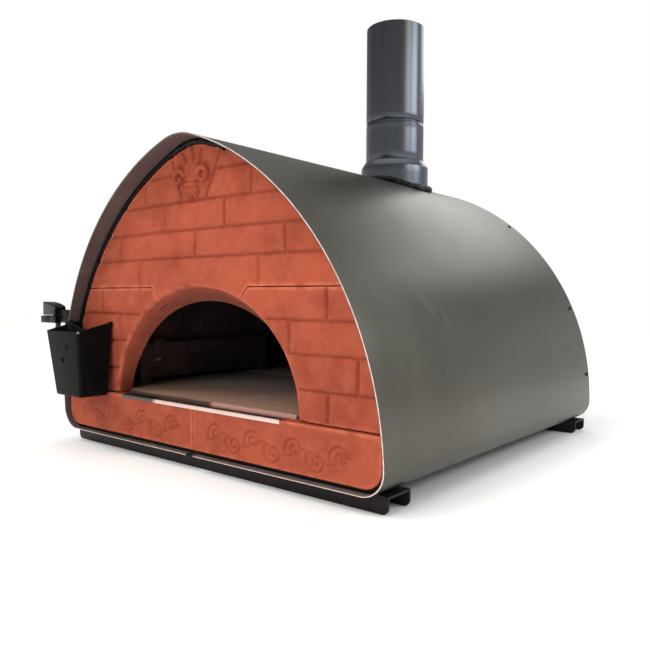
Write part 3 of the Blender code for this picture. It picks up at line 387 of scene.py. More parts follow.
def insulation():
    """Ceramic fibre: off-white, woolly."""
    f = Finish("insulation", Specular_IOR_Level=0.1)
    fibres = f.noise(320, 6, 0.75, f.stretched((1.0, 0.25, 1.0)), warp=1.5)
    f.set("Base Color", f.mix(fibres.step(0.3, 0.7), (0.62, 0.58, 0.52), (0.84, 0.82, 0.78)))
    f.set("Roughness", 0.92 + fibres * 0.06)
    f.bump(fibres, 0.002, 0.8)
    return f.material


def black_seal(name, roughness, shine):
    """Black sealing compound, smeared and glossy in places."""
    f = Finish(name, Specular_IOR_Level=shine)
    smear = f.noise(120, 5, 0.6, warp=0.8)
    f.set("Base Color", f.mix(smear.step(0.4, 0.8), (0.0025, 0.0022, 0.0022), (0.0085, 0.0070, 0.0065)))
    f.set("Roughness", roughness + smear * 0.22)
    f.bump(smear, 0.0012, 0.7)
    return f.material


def flue_enamel():
    """Blue-black stove enamel on steel pipe, with upright drawing marks."""
    f = Finish("flue_enamel", Metallic=0.92)
    drawn = f.noise(60, 4, 0.6, f.stretched((1.0, 1.0, 0.03)))
    speckle = f.noise(900, 3, 0.6)
    shade = f.noise(4, 3, 0.5, f.stretched((1.0, 1.0, 0.15)))
    colour = f.mix(shade.step(0.3, 0.7), (0.086, 0.090, 0.101), (0.106, 0.124, 0.152))
    f.set("Base Color", f.mix(drawn.step(0.4, 0.8) * 0.35, colour, (0.120, 0.124, 0.130)))
    f.set("Roughness", 0.22 + drawn * 0.10 + speckle * 0.05)
    f.bump(speckle * 0.5 + drawn * 0.5, 0.0001, 0.35)
    return f.material


def chips(f, place, reach):
    """Where paint is knocked off round a place."""
    near = f.node("ShaderNodeVectorMath", {"operation": "DISTANCE"}, Vector=f.place)
    near.inputs[1].default_value = place
    ragged = f.noise(240, 5, 0.75) * reach * 1.4
    return (Value(f.tree, near.outputs["Value"]) + ragged).step(reach * 1.25, reach * 0.95)


def pocket_enamel():
    """Satin black powder coat with a fine orange peel."""
    f = Finish("pocket_enamel", Specular_IOR_Level=0.07)
    peel = f.noise(520, 3, 0.6)
    dust = f.noise(24, 6, 0.65).step(0.52, 0.80)
    colour = f.mix(peel.step(0.3, 0.7), (0.0036, 0.0036, 0.0035), (0.0072, 0.0070, 0.0066))
    colour = f.mix(dust * 0.35, colour, (0.024, 0.022, 0.020))
    chipped = chips(f, CHIP, 0.010)
    f.set("Base Color", f.mix(chipped, colour, (0.42, 0.38, 0.32)))
    f.set("Roughness", 0.38 + peel * 0.10 + dust * 0.10)
    f.bump(peel, 0.00025, 0.5)
    return f.material


def clamp_plastic():
    """Black moulded plastic, glossy with a light scuff."""
    f = Finish("clamp_plastic", Specular_IOR_Level=0.20)
    scuff = f.noise(70, 6, 0.7, warp=0.5)
    f.set("Base Color", f.mix(scuff.step(0.5, 0.85), (0.0022, 0.0022, 0.0026), (0.0130, 0.0130, 0.0140)))
    f.set("Roughness", 0.20 + scuff * 0.16)
    f.bump(f.noise(600, 2, 0.5), 0.00012, 0.3)
    return f.material


def lever_insert():
    """Grey satin plate let into the lever's end."""
    f = Finish("lever_insert", Metallic=0.2)
    grain = f.noise(800, 3, 0.6)
    f.set("Base Color", f.mix(grain.step(0.3, 0.7), (0.034, 0.032, 0.036), (0.050, 0.048, 0.053)))
    f.set("Roughness", 0.45 + grain * 0.1)
    f.bump(grain, 0.0001, 0.3)
    return f.material


FINISHES = {
    "casing_steel": casing_paint(),
    "casing_lining": casing_lining(),
    "cut_edge": cut_edge(),
    "black_steel": black_steel(),
    "terracotta": terracotta(),
    "refractory": refractory(),
    "chamber_steel": chamber_steel(),
    "bright_steel": bright_steel("bright_steel", (0.66, 0.62, 0.60)),
    "strip_steel": bright_steel("strip_steel", (0.84, 0.62, 0.56)),
    "insulation": insulation(),
    "black_seal": black_seal("black_seal", 0.46, 0.12),
    "flue_sealant": black_seal("flue_sealant", 0.12, 0.16),
    "flue_enamel": flue_enamel(),
    "pocket_enamel": pocket_enamel(),
    "clamp_plastic": clamp_plastic(),
    "lever_insert": lever_insert(),
}


# ---------------------------------------------------------------- mesh helpers
def finish_mesh(mesh, smooth_angle):
    bm = bmesh.new()
    bm.from_mesh(mesh)
    bmesh.ops.recalc_face_normals(bm, faces=bm.faces)
    bm.to_mesh(mesh)
    bm.free()
    shade(mesh, smooth_angle)


def shade(mesh, angle):
    """Smooth, with creases where faces meet at more than an angle in degrees."""
    mesh.shade_smooth()
    mesh.set_sharp_from_angle(angle=radians(angle))


def settle(piece, body, hides=()):
    """Makes a finished piece ride on its body and stand for its nodes."""
    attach(piece, body)
    if hides:
        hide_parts(*hides)
    return piece


def add_piece(name, vertices, faces, finishes, smooth_angle=35):
    """A new object from points and faces, with its material or materials."""
    mesh = bpy.data.meshes.new(name)
    mesh.from_pydata([tuple(map(float, v)) for v in vertices], [], [tuple(map(int, f)) for f in faces])
    finish_mesh(mesh, smooth_angle)
    for finish in finishes if isinstance(finishes, tuple) else (finishes,):
        mesh.materials.append(FINISHES[finish])
    piece = bpy.data.objects.new(name, mesh)
    bpy.context.scene.collection.objects.link(piece)
    return piece


def plain(piece):
    """Turns a piece's modifiers into plain mesh."""
    evaluated = piece.evaluated_get(bpy.context.evaluated_depsgraph_get())
    mesh = bpy.data.meshes.new_from_object(evaluated)
    old = piece.data
    piece.modifiers.clear()
    piece.data = mesh
    bpy.data.meshes.remove(old)
    return piece


def loft(loops, ring=False):
    """Vertices and faces that join equal loops one to the next, with end caps or as a ring."""
    count = len(loops[0])
    vertices = [point for loop in loops for point in loop]
    faces = []
    last = len(loops) if ring else len(loops) - 1
    for row in range(last):
        near = row * count
        far = (row + 1) % len(loops) * count
        for i in range(count):
            j = (i + 1) % count
            faces.append((near + i, near + j, far + j, far + i))
    if not ring:
        faces.append(tuple(range(count - 1, -1, -1)))
        faces.append(tuple(range((len(loops) - 1) * count, len(loops) * count)))
    return vertices, faces


def circle(radius, z, count, centre_y=0.0):
    """Points round an upright axis."""
    turns = [2 * pi * i / count for i in range(count)]
    return [(radius * cos(t), centre_y + radius * sin(t), z) for t in turns]


def cut(piece, cutter_vertices, cutter_faces):
    """Cuts a shape out of a piece and leaves a plain mesh."""
    mesh = bpy.data.meshes.new("cutter")
    mesh.from_pydata([tuple(v) for v in cutter_vertices], [], cutter_faces)
    finish_mesh(mesh, 30)
    cutter = bpy.data.objects.new("cutter", mesh)
    bpy.context.scene.collection.objects.link(cutter)
    change = piece.modifiers.new("cut", "BOOLEAN")
    change.operation = "DIFFERENCE"
    change.solver = "EXACT"
    change.object = cutter
    bpy.context.view_layer.update()
    plain(piece)
    bpy.data.objects.remove(cutter, do_unlink=True)
    return piece


def softened(node, width, finish, body, segments=3, angle=32, hides=None):
    """A copy of a CAD node with its facets merged and its edges rounded."""
    bm = bmesh.new()
    bm.from_mesh(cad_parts[node].data)
    bmesh.ops.remove_doubles(bm, verts=bm.verts, dist=0.00002)
    bmesh.ops.dissolve_limit(bm, angle_limit=radians(1.5), verts=bm.verts, edges=bm.edges)
    bm.verts.index_update()
    vertices = [v.co.copy() for v in bm.verts]
    faces = [[v.index for v in f.verts] for f in bm.faces]
    bm.free()
    piece = add_piece(f"{node}_finished", vertices, faces, finish)
    bevel = piece.modifiers.new("edges", "BEVEL")
    bevel.width = width
    bevel.segments = segments
    bevel.limit_method = "ANGLE"
    bevel.angle_limit = radians(angle)
    bevel.use_clamp_overlap = True
    bpy.context.view_layer.update()
    plain(piece)
    shade(piece.data, 40)
    return settle(piece, body, hides or (node,))


def near(u, v, *offsets):
    """Section points given by their offsets from one corner."""
    return [(u + du, v + dv) for du, dv in offsets]


# ---------------------------------------------------------------- the casing's outline
def arc(centre_x, centre_z, radius, start, stop, steps):
    turns = [start + (stop - start) * i / steps for i in range(steps + 1)]
    return [(centre_x + radius * cos(t), centre_z + radius * sin(t)) for t in turns]


def right_side(inset, corner_steps=14, side_steps=70, crown_steps=18):
    """Points from the bottom's middle round the right side to the crown."""
    points = [(CORNER_X * i / 10, CASING_BOTTOM + inset) for i in range(10)]
    points += arc(CORNER_X, CORNER_Z, CORNER_RADIUS - inset, -pi / 2, 0, corner_steps)
    points += arc(SIDE_X, CORNER_Z, SIDE_RADIUS - inset, 0, CROWN_ANGLE, side_steps)[1:]
    return points + arc(0.0, CROWN_Z, CROWN_RADIUS - inset, CROWN_ANGLE, pi / 2, crown_steps)[1:]


def outline(inset, **steps):
    """The whole closed outline, from the bottom's middle round the right side."""
    right = right_side(inset, **steps)
    return right + [(-x, z) for x, z in reversed(right[1:-1])]


def side_x(inset, level):
    """Half width of the outline at a level."""
    if level < CORNER_Z:
        reach = (CORNER_RADIUS - inset) ** 2 - (CORNER_Z - level) ** 2
        return CORNER_X + sqrt(max(0.0, reach))
    if level > CORNER_Z + (SIDE_RADIUS - inset) * sin(CROWN_ANGLE):
        return sqrt(max(0.0, (CROWN_RADIUS - inset) ** 2 - (level - CROWN_Z) ** 2))
    return SIDE_X + sqrt((SIDE_RADIUS - inset) ** 2 - (level - CORNER_Z) ** 2)


def roof_z(inset, x):
    """Height of the outline over a distance from the middle."""
    radius = CROWN_RADIUS - inset
    if abs(x) < radius * cos(CROWN_ANGLE):
        return CROWN_Z + sqrt(radius ** 2 - x ** 2)
    return CORNER_Z + sqrt((SIDE_RADIUS - inset) ** 2 - (abs(x) - SIDE_X) ** 2)


def front_edge(z):
    return CASING_FRONT - FRONT_OVERHANG * (z - CASING_BOTTOM) / CASING_HEIGHT


def rear_edge(z):
    return CASING_REAR + REAR_OVERHANG * (z - CASING_BOTTOM) / CASING_HEIGHT


# ---------------------------------------------------------------- casing
def make_casing():
    """The wrapped sheet with rounded cut edges and the faint waves of rolled steel."""
    outer = outline(0.0)
    inner = outline(SHEET)
    seam = 0.011
    lengthwise = 44
    outer = [(seam, outer[0][1])] + outer[1:] + [(-seam, outer[0][1])]
    inner = [(seam, inner[0][1])] + inner[1:] + [(-seam, inner[0][1])]
    loops = []
    for (xo, zo), (xi, zi) in zip(outer, inner):
        front = front_edge(zo)
        rear = rear_edge(zo)
        out = Vector((xo - xi, 0, zo - zi)) / SHEET
        section = []
        for i in range(lengthwise + 1):
            share = i / lengthwise
            y = front + 2 * HEM + (rear - front - 4 * HEM) * share
            fade = min(1.0, 12 * share * (1 - share))
            wave = DENT * fade * noise.noise(Vector((xo * 5, y * 4, zo * 5)))
            section.append(Vector((xo, y, zo)) + out * wave)
        rim = [(0.0, HEM), (HEM * 0.3, HEM * 0.3), (HEM, 0.0), (BRIGHT_RIM, 0.0), (SHEET - HEM, 0.0)]
        rim += [(SHEET - HEM * 0.3, HEM * 0.3), (SHEET, HEM)]
        for inset, back in rim:
            section.append(Vector((xo, rear - back, zo)) - out * inset)
        section += [Vector((xi, rear - 2 * HEM, zi)), Vector((xi, front + 2 * HEM, zi))]
        for inset, back in reversed(rim):
            section.append(Vector((xo, front + back, zo)) - out * inset)
        loops.append(section)
    vertices, faces = loft(loops)
    piece = add_piece("casing_sheet", vertices, faces, ("casing_steel", "cut_edge", "casing_lining"), 50)
    count = len(loops[0])
    rear_rim, front_rim = lengthwise + 1, lengthwise + 10
    kinds = [2 if rear_rim <= i < count - 1 else 0 for i in range(count)]
    for i in (0, 1, 2):
        kinds[rear_rim + i] = 1
        kinds[front_rim + 5 - i] = 1
    for number, face in enumerate(piece.data.polygons):
        if number < (len(loops) - 1) * count:
            face.material_index = kinds[number % count]
    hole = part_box("flue_outlet")[1].x + 0.0006
    loops = [circle(hole, z, 64, FLUE_Y) for z in (CASING_TOP - 0.2, CASING_TOP + 0.05)]
    cut(piece, *loft(loops))
    shade(piece.data, 50)
    settle(piece, "oven", ("outer_casing",))


def make_rear_panel():
    """The pressed rear plate: a turned rim, a swaged border and a flat field."""
    low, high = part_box("rear_panel")
    y = low.y
    plate = 0.002
    rim_inset = SHEET + 0.0004
    last_true_inset = 0.022
    half_size = 0.47
    centre_z = 0.30
    swage = 0.0012
    front = [(0.0, high.y - 0.0004), (0.0, y + 0.003), (0.0009, y + 0.0009), (0.003, y)]
    border = [(0.060, y), (0.064, y + swage), (0.072, y + swage), (0.076, y)]

    def loop(inset, depth):
        points = outline(rim_inset + inset, corner_steps=8, side_steps=40, crown_steps=10)
        return [(x, depth, z) for x, z in points]

    def shrunk(points, share, depth):
        return [(px * share, depth, centre_z + (pz - centre_z) * share) for px, _, pz in points]

    def inner_loop(inset, depth):
        share = 1 - (inset - last_true_inset) / half_size
        return shrunk(loop(last_true_inset, depth), share, depth)

    loops = [loop(inset, depth) for inset, depth in front]
    loops += [inner_loop(inset, depth) for inset, depth in border]
    field = inner_loop(0.110, y)
    loops.append(field)
    for share in (0.75, 0.5, 0.25, 0.05):
        loops.append(shrunk(field, share, y))
    for share in (0.05, 0.25, 0.5, 0.75):
        loops.append(shrunk(field, share, y + plate))
    loops.append(shrunk(field, 1.0, y + plate))
    for inset, depth in reversed(border):
        loops.append(inner_loop(inset, depth + plate))
    bend = [(0.003 + plate * 0.3, y + plate), (plate * 1.3, y + plate * 1.3), (plate, y + 0.004)]
    loops += [loop(inset, depth) for inset, depth in bend]
    loops += [loop(plate, high.y - 0.0004), loop(plate - 0.0004, high.y), loop(0.0004, high.y)]
    vertices, faces = loft(loops, ring=True)
    piece = add_piece("rear_plate", vertices, faces, "black_steel", 40)
    bm = bmesh.new()
    bm.from_mesh(piece.data)
    count = len(loops[0])
    bm.verts.ensure_lookup_table()
    middle = len(front) + len(border) + 1 + 3
    bridge = {middle, middle + 1}
    gone = [f for f in bm.faces if {v.index // count for v in f.verts} == bridge]
    bmesh.ops.delete(bm, geom=gone, context="FACES_ONLY")
    for row in bridge:
        bm.faces.new([bm.verts[row * count + i] for i in range(count)])
    bmesh.ops.recalc_face_normals(bm, faces=bm.faces)
    bm.to_mesh(piece.data)
    bm.free()
    settle(piece, "oven", ("rear_panel",))


# ---------------------------------------------------------------- terracotta relief
def brick_lines():
    """The moulded joints as (x, z) segments."""
    lines = []
    for level in COURSES[:-1]:
        if level == COURSES[0]:
            lines += [(-0.40, level, -0.067, level), (0.066, level, 0.40, level)]
        elif abs(level - BLOCK_LEVEL) > 0.004:
            lines.append((-0.60, level, 0.60, level))
    for high, low, places in zip(COURSES, COURSES[1:], UPRIGHTS):
        for x in places:
            lines.append((x, low, x, high))
    keystone = [(-0.083, 0.645, -0.043, 0.547), (0.073, 0.640, 0.028, 0.547)]
    return lines + keystone


def from_segments(x, z, lines):
    """Distance of each point to the nearest segment."""
    best = np.full(x.shape, 1.0)
    for x0, z0, x1, z1 in lines:
        length = hypot(x1 - x0, z1 - z0)
        ux, uz = (x1 - x0) / length, (z1 - z0) / length
        along = np.clip((x - x0) * ux + (z - z0) * uz, 0, length)
        best = np.minimum(best, np.hypot(x - x0 - ux * along, z - z0 - uz * along))
    return best


def leaf(x, z, root, angle, length, width, bend=0.0):
    """Height, 0 to 1, of a grooved leaf that grows from a root at an angle from upright."""
    dx, dz = x - root[0], z - root[1]
    along = dx * sin(angle) + dz * cos(angle)
    share = np.clip(along / length, 0, 1)
    across = dx * cos(angle) - dz * sin(angle) - bend * share ** 2
    half = width / 2 * np.clip(np.sin(pi * share ** 0.8), 0, 1) ** 0.7 + 1e-6
    body = np.sqrt(np.clip(1 - (across / half) ** 2, 0, 1))
    rib = 0.45 * np.exp(-(across / (0.12 * width)) ** 2)
    body = np.clip(body * (0.55 + 0.45 * share) - rib * (body > 0.25), 0, 1)
    return np.where((along > 0) & (along < length), body, 0)


def scroll(x, z, centre, radius, side):
    """Height of a volute: a fat band that winds in to a bead."""
    dx, dz = (x - centre[0]) * side, z - centre[1]
    distance = np.hypot(dx, dz)
    turn = np.arctan2(-dz, dx)
    winding = radius * (0.74 - 0.085 * turn)
    thick = radius * (0.33 - 0.04 * turn)
    band = np.sqrt(np.clip(1 - ((distance - winding) / thick) ** 2, 0, 1))
    bead = np.sqrt(np.clip(1 - (distance / (radius * 0.27)) ** 2, 0, 1))
    return np.maximum(band, bead * 0.7)


def emblem(x, z):
    """A plain palmette: five leaves, two volutes, a tie and five small leaves below."""
    cx, cz = EMBLEM
    height = leaf(x, z, EMBLEM, 0.0, 0.078, 0.021)
    for side in (-1, 1):
        leaves = (
            (0.85, side * 0.36, 0.074, 0.0155, side * 0.005),
            (0.75, side * 0.74, 0.060, 0.0140, side * 0.004),
            (0.70, pi + side * 1.05, 0.030, 0.0105, -side * 0.004),
            (0.75, pi + side * 0.52, 0.031, 0.0105, 0.0),
        )
        for rise, *shape in leaves:
            height = np.maximum(height, rise * leaf(x, z, EMBLEM, *shape))
        volute = scroll(x, z, (cx + side * 0.037, cz + 0.016), 0.0165, side)
        height = np.maximum(height, 0.95 * volute)
    height = np.maximum(height, 0.8 * leaf(x, z, EMBLEM, pi, 0.030, 0.0105))
    tie = np.sqrt(np.clip(1 - ((x - cx) / 0.021) ** 2 - ((z - cz) / 0.0048) ** 2, 0, 1))
    return np.maximum(height, tie)


def vine(x_low, x_high, level):
    """A running vine whose tendrils wind into spirals on both sides, as (x, z) segments."""
    rise = 0.009
    radius = 0.0205
    curls = 7
    pitch = (x_high - x_low) / curls
    lines = []

    def stem(x):
        return x, level - rise * cos(pi * (x - x_low) / pitch)

    count = 16 * curls
    points = [stem(x_low + (x_high - x_low) * i / count) for i in range(count + 1)]
    lines += [(*a, *b) for a, b in zip(points, points[1:])]
    for number in range(curls):
        side = 1 if number % 2 == 0 else -1
        root = stem(x_low + pitch * (number + 0.12))
        centre = (x_low + pitch * (number + 0.52), level + side * 0.0085)
        begin = atan2((root[1] - centre[1]) * side, root[0] - centre[0])
        far = hypot(root[0] - centre[0], root[1] - centre[1])
        curl = []
        for i in range(34):
            share = i / 33
            reach = radius * (1 - 0.82 * share)
            reach += (far - radius) * max(0.0, 1 - 5 * share)
            turn = begin - 3.1 * pi * share
            curl.append((centre[0] + reach * cos(turn), centre[1] + side * reach * sin(turn)))
        lines += [(*a, *b) for a, b in zip(curl, curl[1:])]
    return lines


def wander(x, z, scale, seed):
    """Smooth noise for arrays of points."""
    flat = [noise.noise(Vector((a * scale, seed, b * scale))) for a, b in zip(x.ravel(), z.ravel())]
    return np.array(flat).reshape(x.shape)


def brick_relief(x, z):
    """Depth behind the face, and how deep in a joint each point lies with painted shade added round the
    palmette, for the upper blocks.
    """
    wobble_x = 0.0011 * wander(x, z, 42, 1.7)
    wobble_z = 0.0011 * wander(x, z, 42, 8.3)
    gap = from_segments(x + wobble_x, z + wobble_z, brick_lines())
    groove = np.clip(1 - gap / JOINT_WIDTH, 0, 1)
    groove = groove ** 1.4 * (1.6 - 0.6 * groove)
    pillow = np.exp(-(gap / 0.012) ** 2)
    depth = JOINT_DEPTH * groove + 0.0015 * pillow
    raised = emblem(x, z)
    depth = depth * (1 - np.clip(raised * 3, 0, 1)) - EMBLEM_RELIEF * raised
    depth += 0.0007 * wander(x, z, 14, 3.1) + 0.00028 * wander(x, z, 75, 5.9)
    cx, cz = EMBLEM
    near = np.exp(-(((x - cx) / 0.058) ** 4 + ((z - cz - 0.018) / 0.060) ** 4))
    # painted shade: the low field between and round the palmette's leaves counts as cavity, so the material
    # darkens it
    return depth, np.clip(groove + 0.9 * near * np.clip(0.35 - raised, 0, 1) / 0.35, 0, 1)


def vine_relief(lines):
    """The same for a sill, whose vine is drawn into the clay."""
    def relief(x, z):
        gap = from_segments(x, z, lines)
        width = 0.0030 * (1 + 0.20 * wander(x, z, 60, 2.2))
        line = np.clip(1 - gap / width, 0, 1) ** 0.75
        lip = np.exp(-((gap - 0.0040) / 0.0014) ** 2)
        depth = 0.0025 * line - 0.00045 * lip
        depth += 0.0008 * wander(x, z, 12, 6.4) + 0.00025 * wander(x, z, 75, 5.9)
        return depth, line * 0.75
    return relief


# ---------------------------------------------------------------- terracotta blocks
EDGE_STEPS = (0.0, 0.0006, 0.0014, 0.0026, 0.0046, 0.0076)


def spread(low, high, step):
    """Places from low to high: close together at the ends, even between."""
    inner_low = low + EDGE_STEPS[-1]
    inner_high = high - EDGE_STEPS[-1]
    count = max(2, round((inner_high - inner_low) / step))
    even = [inner_low + (inner_high - inner_low) * i / count for i in range(1, count)]
    return [low + e for e in EDGE_STEPS] + even + [high - e for e in reversed(EDGE_STEPS)]


def squeeze(count, low, high, crowd=0.0):
    """A number of places over a span, close together at its ends, and crowded towards the far end."""
    span = high - low
    width = EDGE_STEPS[-1]
    if span < 3 * width:
        return [low + span * i / (count - 1) for i in range(count)]
    middle = count - 2 * len(EDGE_STEPS)
    shares = [(i + 1) / (middle + 1) for i in range(middle)]
    even = [low + width + (span - 2 * width) * (t + crowd * sin(pi * t) / pi) for t in shares]
    return [low + e for e in EDGE_STEPS] + even + [high - e for e in reversed(EDGE_STEPS)]


def mouth_x(z):
    return MOUTH_HALF_WIDTH * sqrt(max(0.0, 1 - ((z - SILL_TOP) / MOUTH_HEIGHT) ** 2))


def mouth_z(x):
    return SILL_TOP + MOUTH_HEIGHT * sqrt(max(0.0, 1 - (x / MOUTH_HALF_WIDTH) ** 2))


CHAMFER_LOW = mouth_z(CHAMFER_INNER)


def through(x, z, share):
    """Where a point of a block's edge lies further back: the reveal tapers and the joints jog."""
    is_jamb = z < CHAMFER_LOW or abs(x) > CHAMFER_INNER + z - CHAMFER_LOW + BLOCK_JOINT / 2
    step_at = 0.40 if is_jamb else 0.50
    side = 1 if x > 0 else -1
    from_arch = abs(hypot(x / MOUTH_HALF_WIDTH, (z - SILL_TOP) / MOUTH_HEIGHT) - 1) * MOUTH_HEIGHT
    on_arch = from_arch < 0.0008
    weight = max(0.0, 1 - from_arch / 0.030)
    distance = hypot(abs(x) - CHAMFER_INNER, z - CHAMFER_LOW)
    jog = JOINT_STEP * max(0.0, 1 - distance / 0.060) * (1.0 if share > step_at else 0.0) * weight
    x = x + side * jog * 0.917
    z = mouth_z(x) if on_arch else z - jog * 0.398
    up = min(1.0, max(0.0, 2 * (z - SILL_TOP) / MOUTH_HEIGHT))
    width = MOUTH_TAPER_SIDES[0] + (MOUTH_TAPER_SIDES[1] - MOUTH_TAPER_SIDES[0]) * up
    x_taper = (width - 1) * share * weight
    z_taper = (MOUTH_TAPER_TOP - 1) * share * weight
    return x * (1 + x_taper), z + (z - SILL_TOP) * z_taper


def straight(x, z, share):
    return x, z


def make_block(name, grid, relief, face_y, rear_y, route, hides):
    """A cast block: its face is a fine grid of (x, z) points pushed back by the relief."""
    grid = np.array(grid)
    rows, columns = grid.shape[:2]
    x, z = grid[..., 0], grid[..., 1]
    index = np.arange(rows * columns).reshape(rows, columns)
    border = list(index[0, :-1]) + list(index[:-1, -1]) + list(index[-1, :0:-1]) + list(index[:0:-1, 0])
    flat = grid.reshape(-1, 2)
    tree = kdtree.KDTree(len(border) * 4)
    entry = 0
    for a, b in zip(border, border[1:] + border[:1]):
        for i in range(4):
            px, pz = flat[a] + (flat[b] - flat[a]) * i / 4
            tree.insert((px, pz, 0), entry)
            entry += 1
    tree.balance()
    margin = np.array([tree.find((px, pz, 0))[2] for px, pz in flat]).reshape(x.shape)
    depth, cavity = relief(x, z)
    arch = np.abs(np.hypot(x / MOUTH_HALF_WIDTH, (z - SILL_TOP) / MOUTH_HEIGHT) - 1) * MOUTH_HEIGHT
    at_mouth = np.exp(-(arch / 0.014) ** 2) if route is through else np.zeros(x.shape)
    arris = ARRIS + MOUTH_SOFTNESS * at_mouth
    lack = np.clip(arris - margin, 0, arris)
    fade = np.clip(margin / arris, 0, 1)
    depth = depth * fade + arris - np.sqrt(arris ** 2 - lack ** 2)
    starts = face_y + arris.ravel()
    vertices = [(px, face_y + d, pz) for (px, pz), d in zip(flat, depth.ravel())]
    faces = []
    for r in range(rows - 1):
        for c in range(columns - 1):
            faces.append((index[r, c], index[r, c + 1], index[r + 1, c + 1], index[r + 1, c]))
    soot_and_shade = list(np.zeros(len(vertices)))
    shares = (0.06, 0.25, 0.399, 0.401, 0.499, 0.501, 0.75, 0.94, 1.0)
    ring = border
    for share in shares:
        start = len(vertices)
        for i in border:
            px, pz = route(*flat[i], share)
            y = starts[i] + (rear_y - starts[i]) * share
            vertices.append((px, y, pz))
            up = (pz - SILL_TOP) / MOUTH_HEIGHT
            on_reveal = route is through and hypot(px / MOUTH_HALF_WIDTH, up) < 1.03
            # soot and painted shade: darker deeper into the reveal and higher up under the arch, where shade
            # falls
            sooted = min(1.0, 0.30 + 1.2 * share) * (0.30 + 0.55 * max(0.0, up))
            soot_and_shade.append(sooted if on_reveal else 0.0)
        new = list(range(start, start + len(border)))
        for i in range(len(border)):
            j = (i + 1) % len(border)
            faces.append((ring[i], new[i], new[j], ring[j]))
        ring = new
    faces.append(tuple(ring))
    piece = add_piece(name, vertices, faces, "terracotta", 44)
    edge = np.exp(-(margin / 0.0045) ** 2)
    for label, numbers in (("cavity", cavity.ravel()), ("edge", edge.ravel()), ("soot_and_shade", np.array(soot_and_shade))):
        values = np.zeros(len(vertices), np.float32)
        values[:len(numbers)] = numbers
        piece.data.attributes.new(label, "FLOAT", "POINT").data.foreach_set("value", values)
    settle(piece, "oven", hides)


def top_block_grid(step):
    """Columns from the joint or the mouth up to the crown."""
    reach = side_x(FRONT_INSET, BLOCK_LEVEL) - 0.0004
    centre = 0.088
    outer = [x for x in spread(-reach, reach, step) if abs(x) > centre]
    fine = round(2 * centre / 0.0011)
    places = sorted(outer + [-centre + 2 * centre * i / fine for i in range(fine + 1)])
    corners = [side * c for side in (-1, 1) for c in (CHAMFER_INNER, CHAMFER_OUTER)]
    for corner in corners:
        nearest = min(range(len(places)), key=lambda i: abs(places[i] - corner))
        places[nearest] = corner
    rows = 200
    slope = (BLOCK_LEVEL - CHAMFER_LOW) / (CHAMFER_OUTER - CHAMFER_INNER)
    columns = []
    for x in places:
        size = abs(x)
        low = BLOCK_LEVEL
        if size < CHAMFER_OUTER:
            low = CHAMFER_LOW + (size - CHAMFER_INNER) * slope
        if size <= CHAMFER_INNER:
            low = mouth_z(size)
        high = max(low + 0.0002, roof_z(FRONT_INSET, size))
        columns.append([(x, z) for z in squeeze(rows, low, high, 0.25)])
    return np.array(columns).transpose(1, 0, 2)


def jamb_grid(side, step):
    """Rows from the mouth or the slanted joint out to the casing."""
    low = SILL_TOP + BLOCK_JOINT
    high = BLOCK_LEVEL - BLOCK_JOINT
    rows = []
    columns = 130
    for z in spread(low, high, step):
        if z < CHAMFER_LOW:
            inner = mouth_x(z)
        else:
            inner = CHAMFER_INNER + BLOCK_JOINT + (z - CHAMFER_LOW)
        row = squeeze(columns, max(inner, mouth_x(z)), side_x(FRONT_INSET, z))
        rows.append([(side * x, z) for x in row])
    return rows


def sill_grid(side, step):
    """Rows from the middle joint out to the casing's rounded corner."""
    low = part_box("sill_left")[0].z
    rows = []
    columns = 390
    corner = CORNER_Z
    places = [low + (corner - low) * (1 - cos(pi / 2 * i / 26)) for i in range(26)]
    places += [z for z in spread(corner, SILL_TOP, step) if z > corner - 0.0001]
    for z in sorted(set(places)):
        row = squeeze(columns, BLOCK_JOINT / 2, side_x(FRONT_INSET, z))
        rows.append([(side * x, z) for x in row])
    return rows


def make_terracotta():
    """The five cast blocks of the front."""
    top = top_block_grid(0.0030)
    make_block("terracotta_top", top, brick_relief, FACE_Y, FRONT_REAR, through, ("front_top_block",))
    for side, label in ((-1, "left"), (1, "right")):
        grid = jamb_grid(side, 0.0021)
        node = (f"front_{label}_jamb",)
        make_block(f"terracotta_jamb_{label}", grid, brick_relief, FACE_Y, FRONT_REAR, through, node)
        middle = (CASING_BOTTOM + SILL_TOP) / 2 - 0.004
        ends = (-0.405, -0.040) if side < 0 else (0.045, 0.405)
        relief = vine_relief(vine(*ends, middle))
        grid = sill_grid(side, 0.0013)
        node = (f"sill_{label}",)
        make_block(f"terracotta_sill_{label}", grid, relief, SILL_FACE, SILL_REAR, straight, node)


# ---------------------------------------------------------------- geometry nodes
class Maker(Graph):
    """A geometry node group with named inputs, which ends as real mesh with its material set."""

    def __init__(self, name, **inputs):
        super().__init__(bpy.data.node_groups.new(name, "GeometryNodeTree"))
        face = self.tree.interface
        face.new_socket("Geometry", in_out="INPUT", socket_type="NodeSocketGeometry")
        for label, kind in inputs.items():
            face.new_socket(label.replace("_", " "), in_out="INPUT", socket_type=f"NodeSocket{kind}")
        face.new_socket("Finish", in_out="INPUT", socket_type="NodeSocketMaterial")
        face.new_socket("Geometry", in_out="OUTPUT", socket_type="NodeSocketGeometry")
        self.inputs = self.node("NodeGroupInput").outputs

    def close(self, geometry):
        real = self.node("GeometryNodeRealizeInstances", Geometry=geometry)
        paint = self.node("GeometryNodeSetMaterial", Geometry=real.outputs[0], Material=self.inputs["Finish"])
        self.node("NodeGroupOutput", Geometry=paint.outputs[0])
        return self.tree


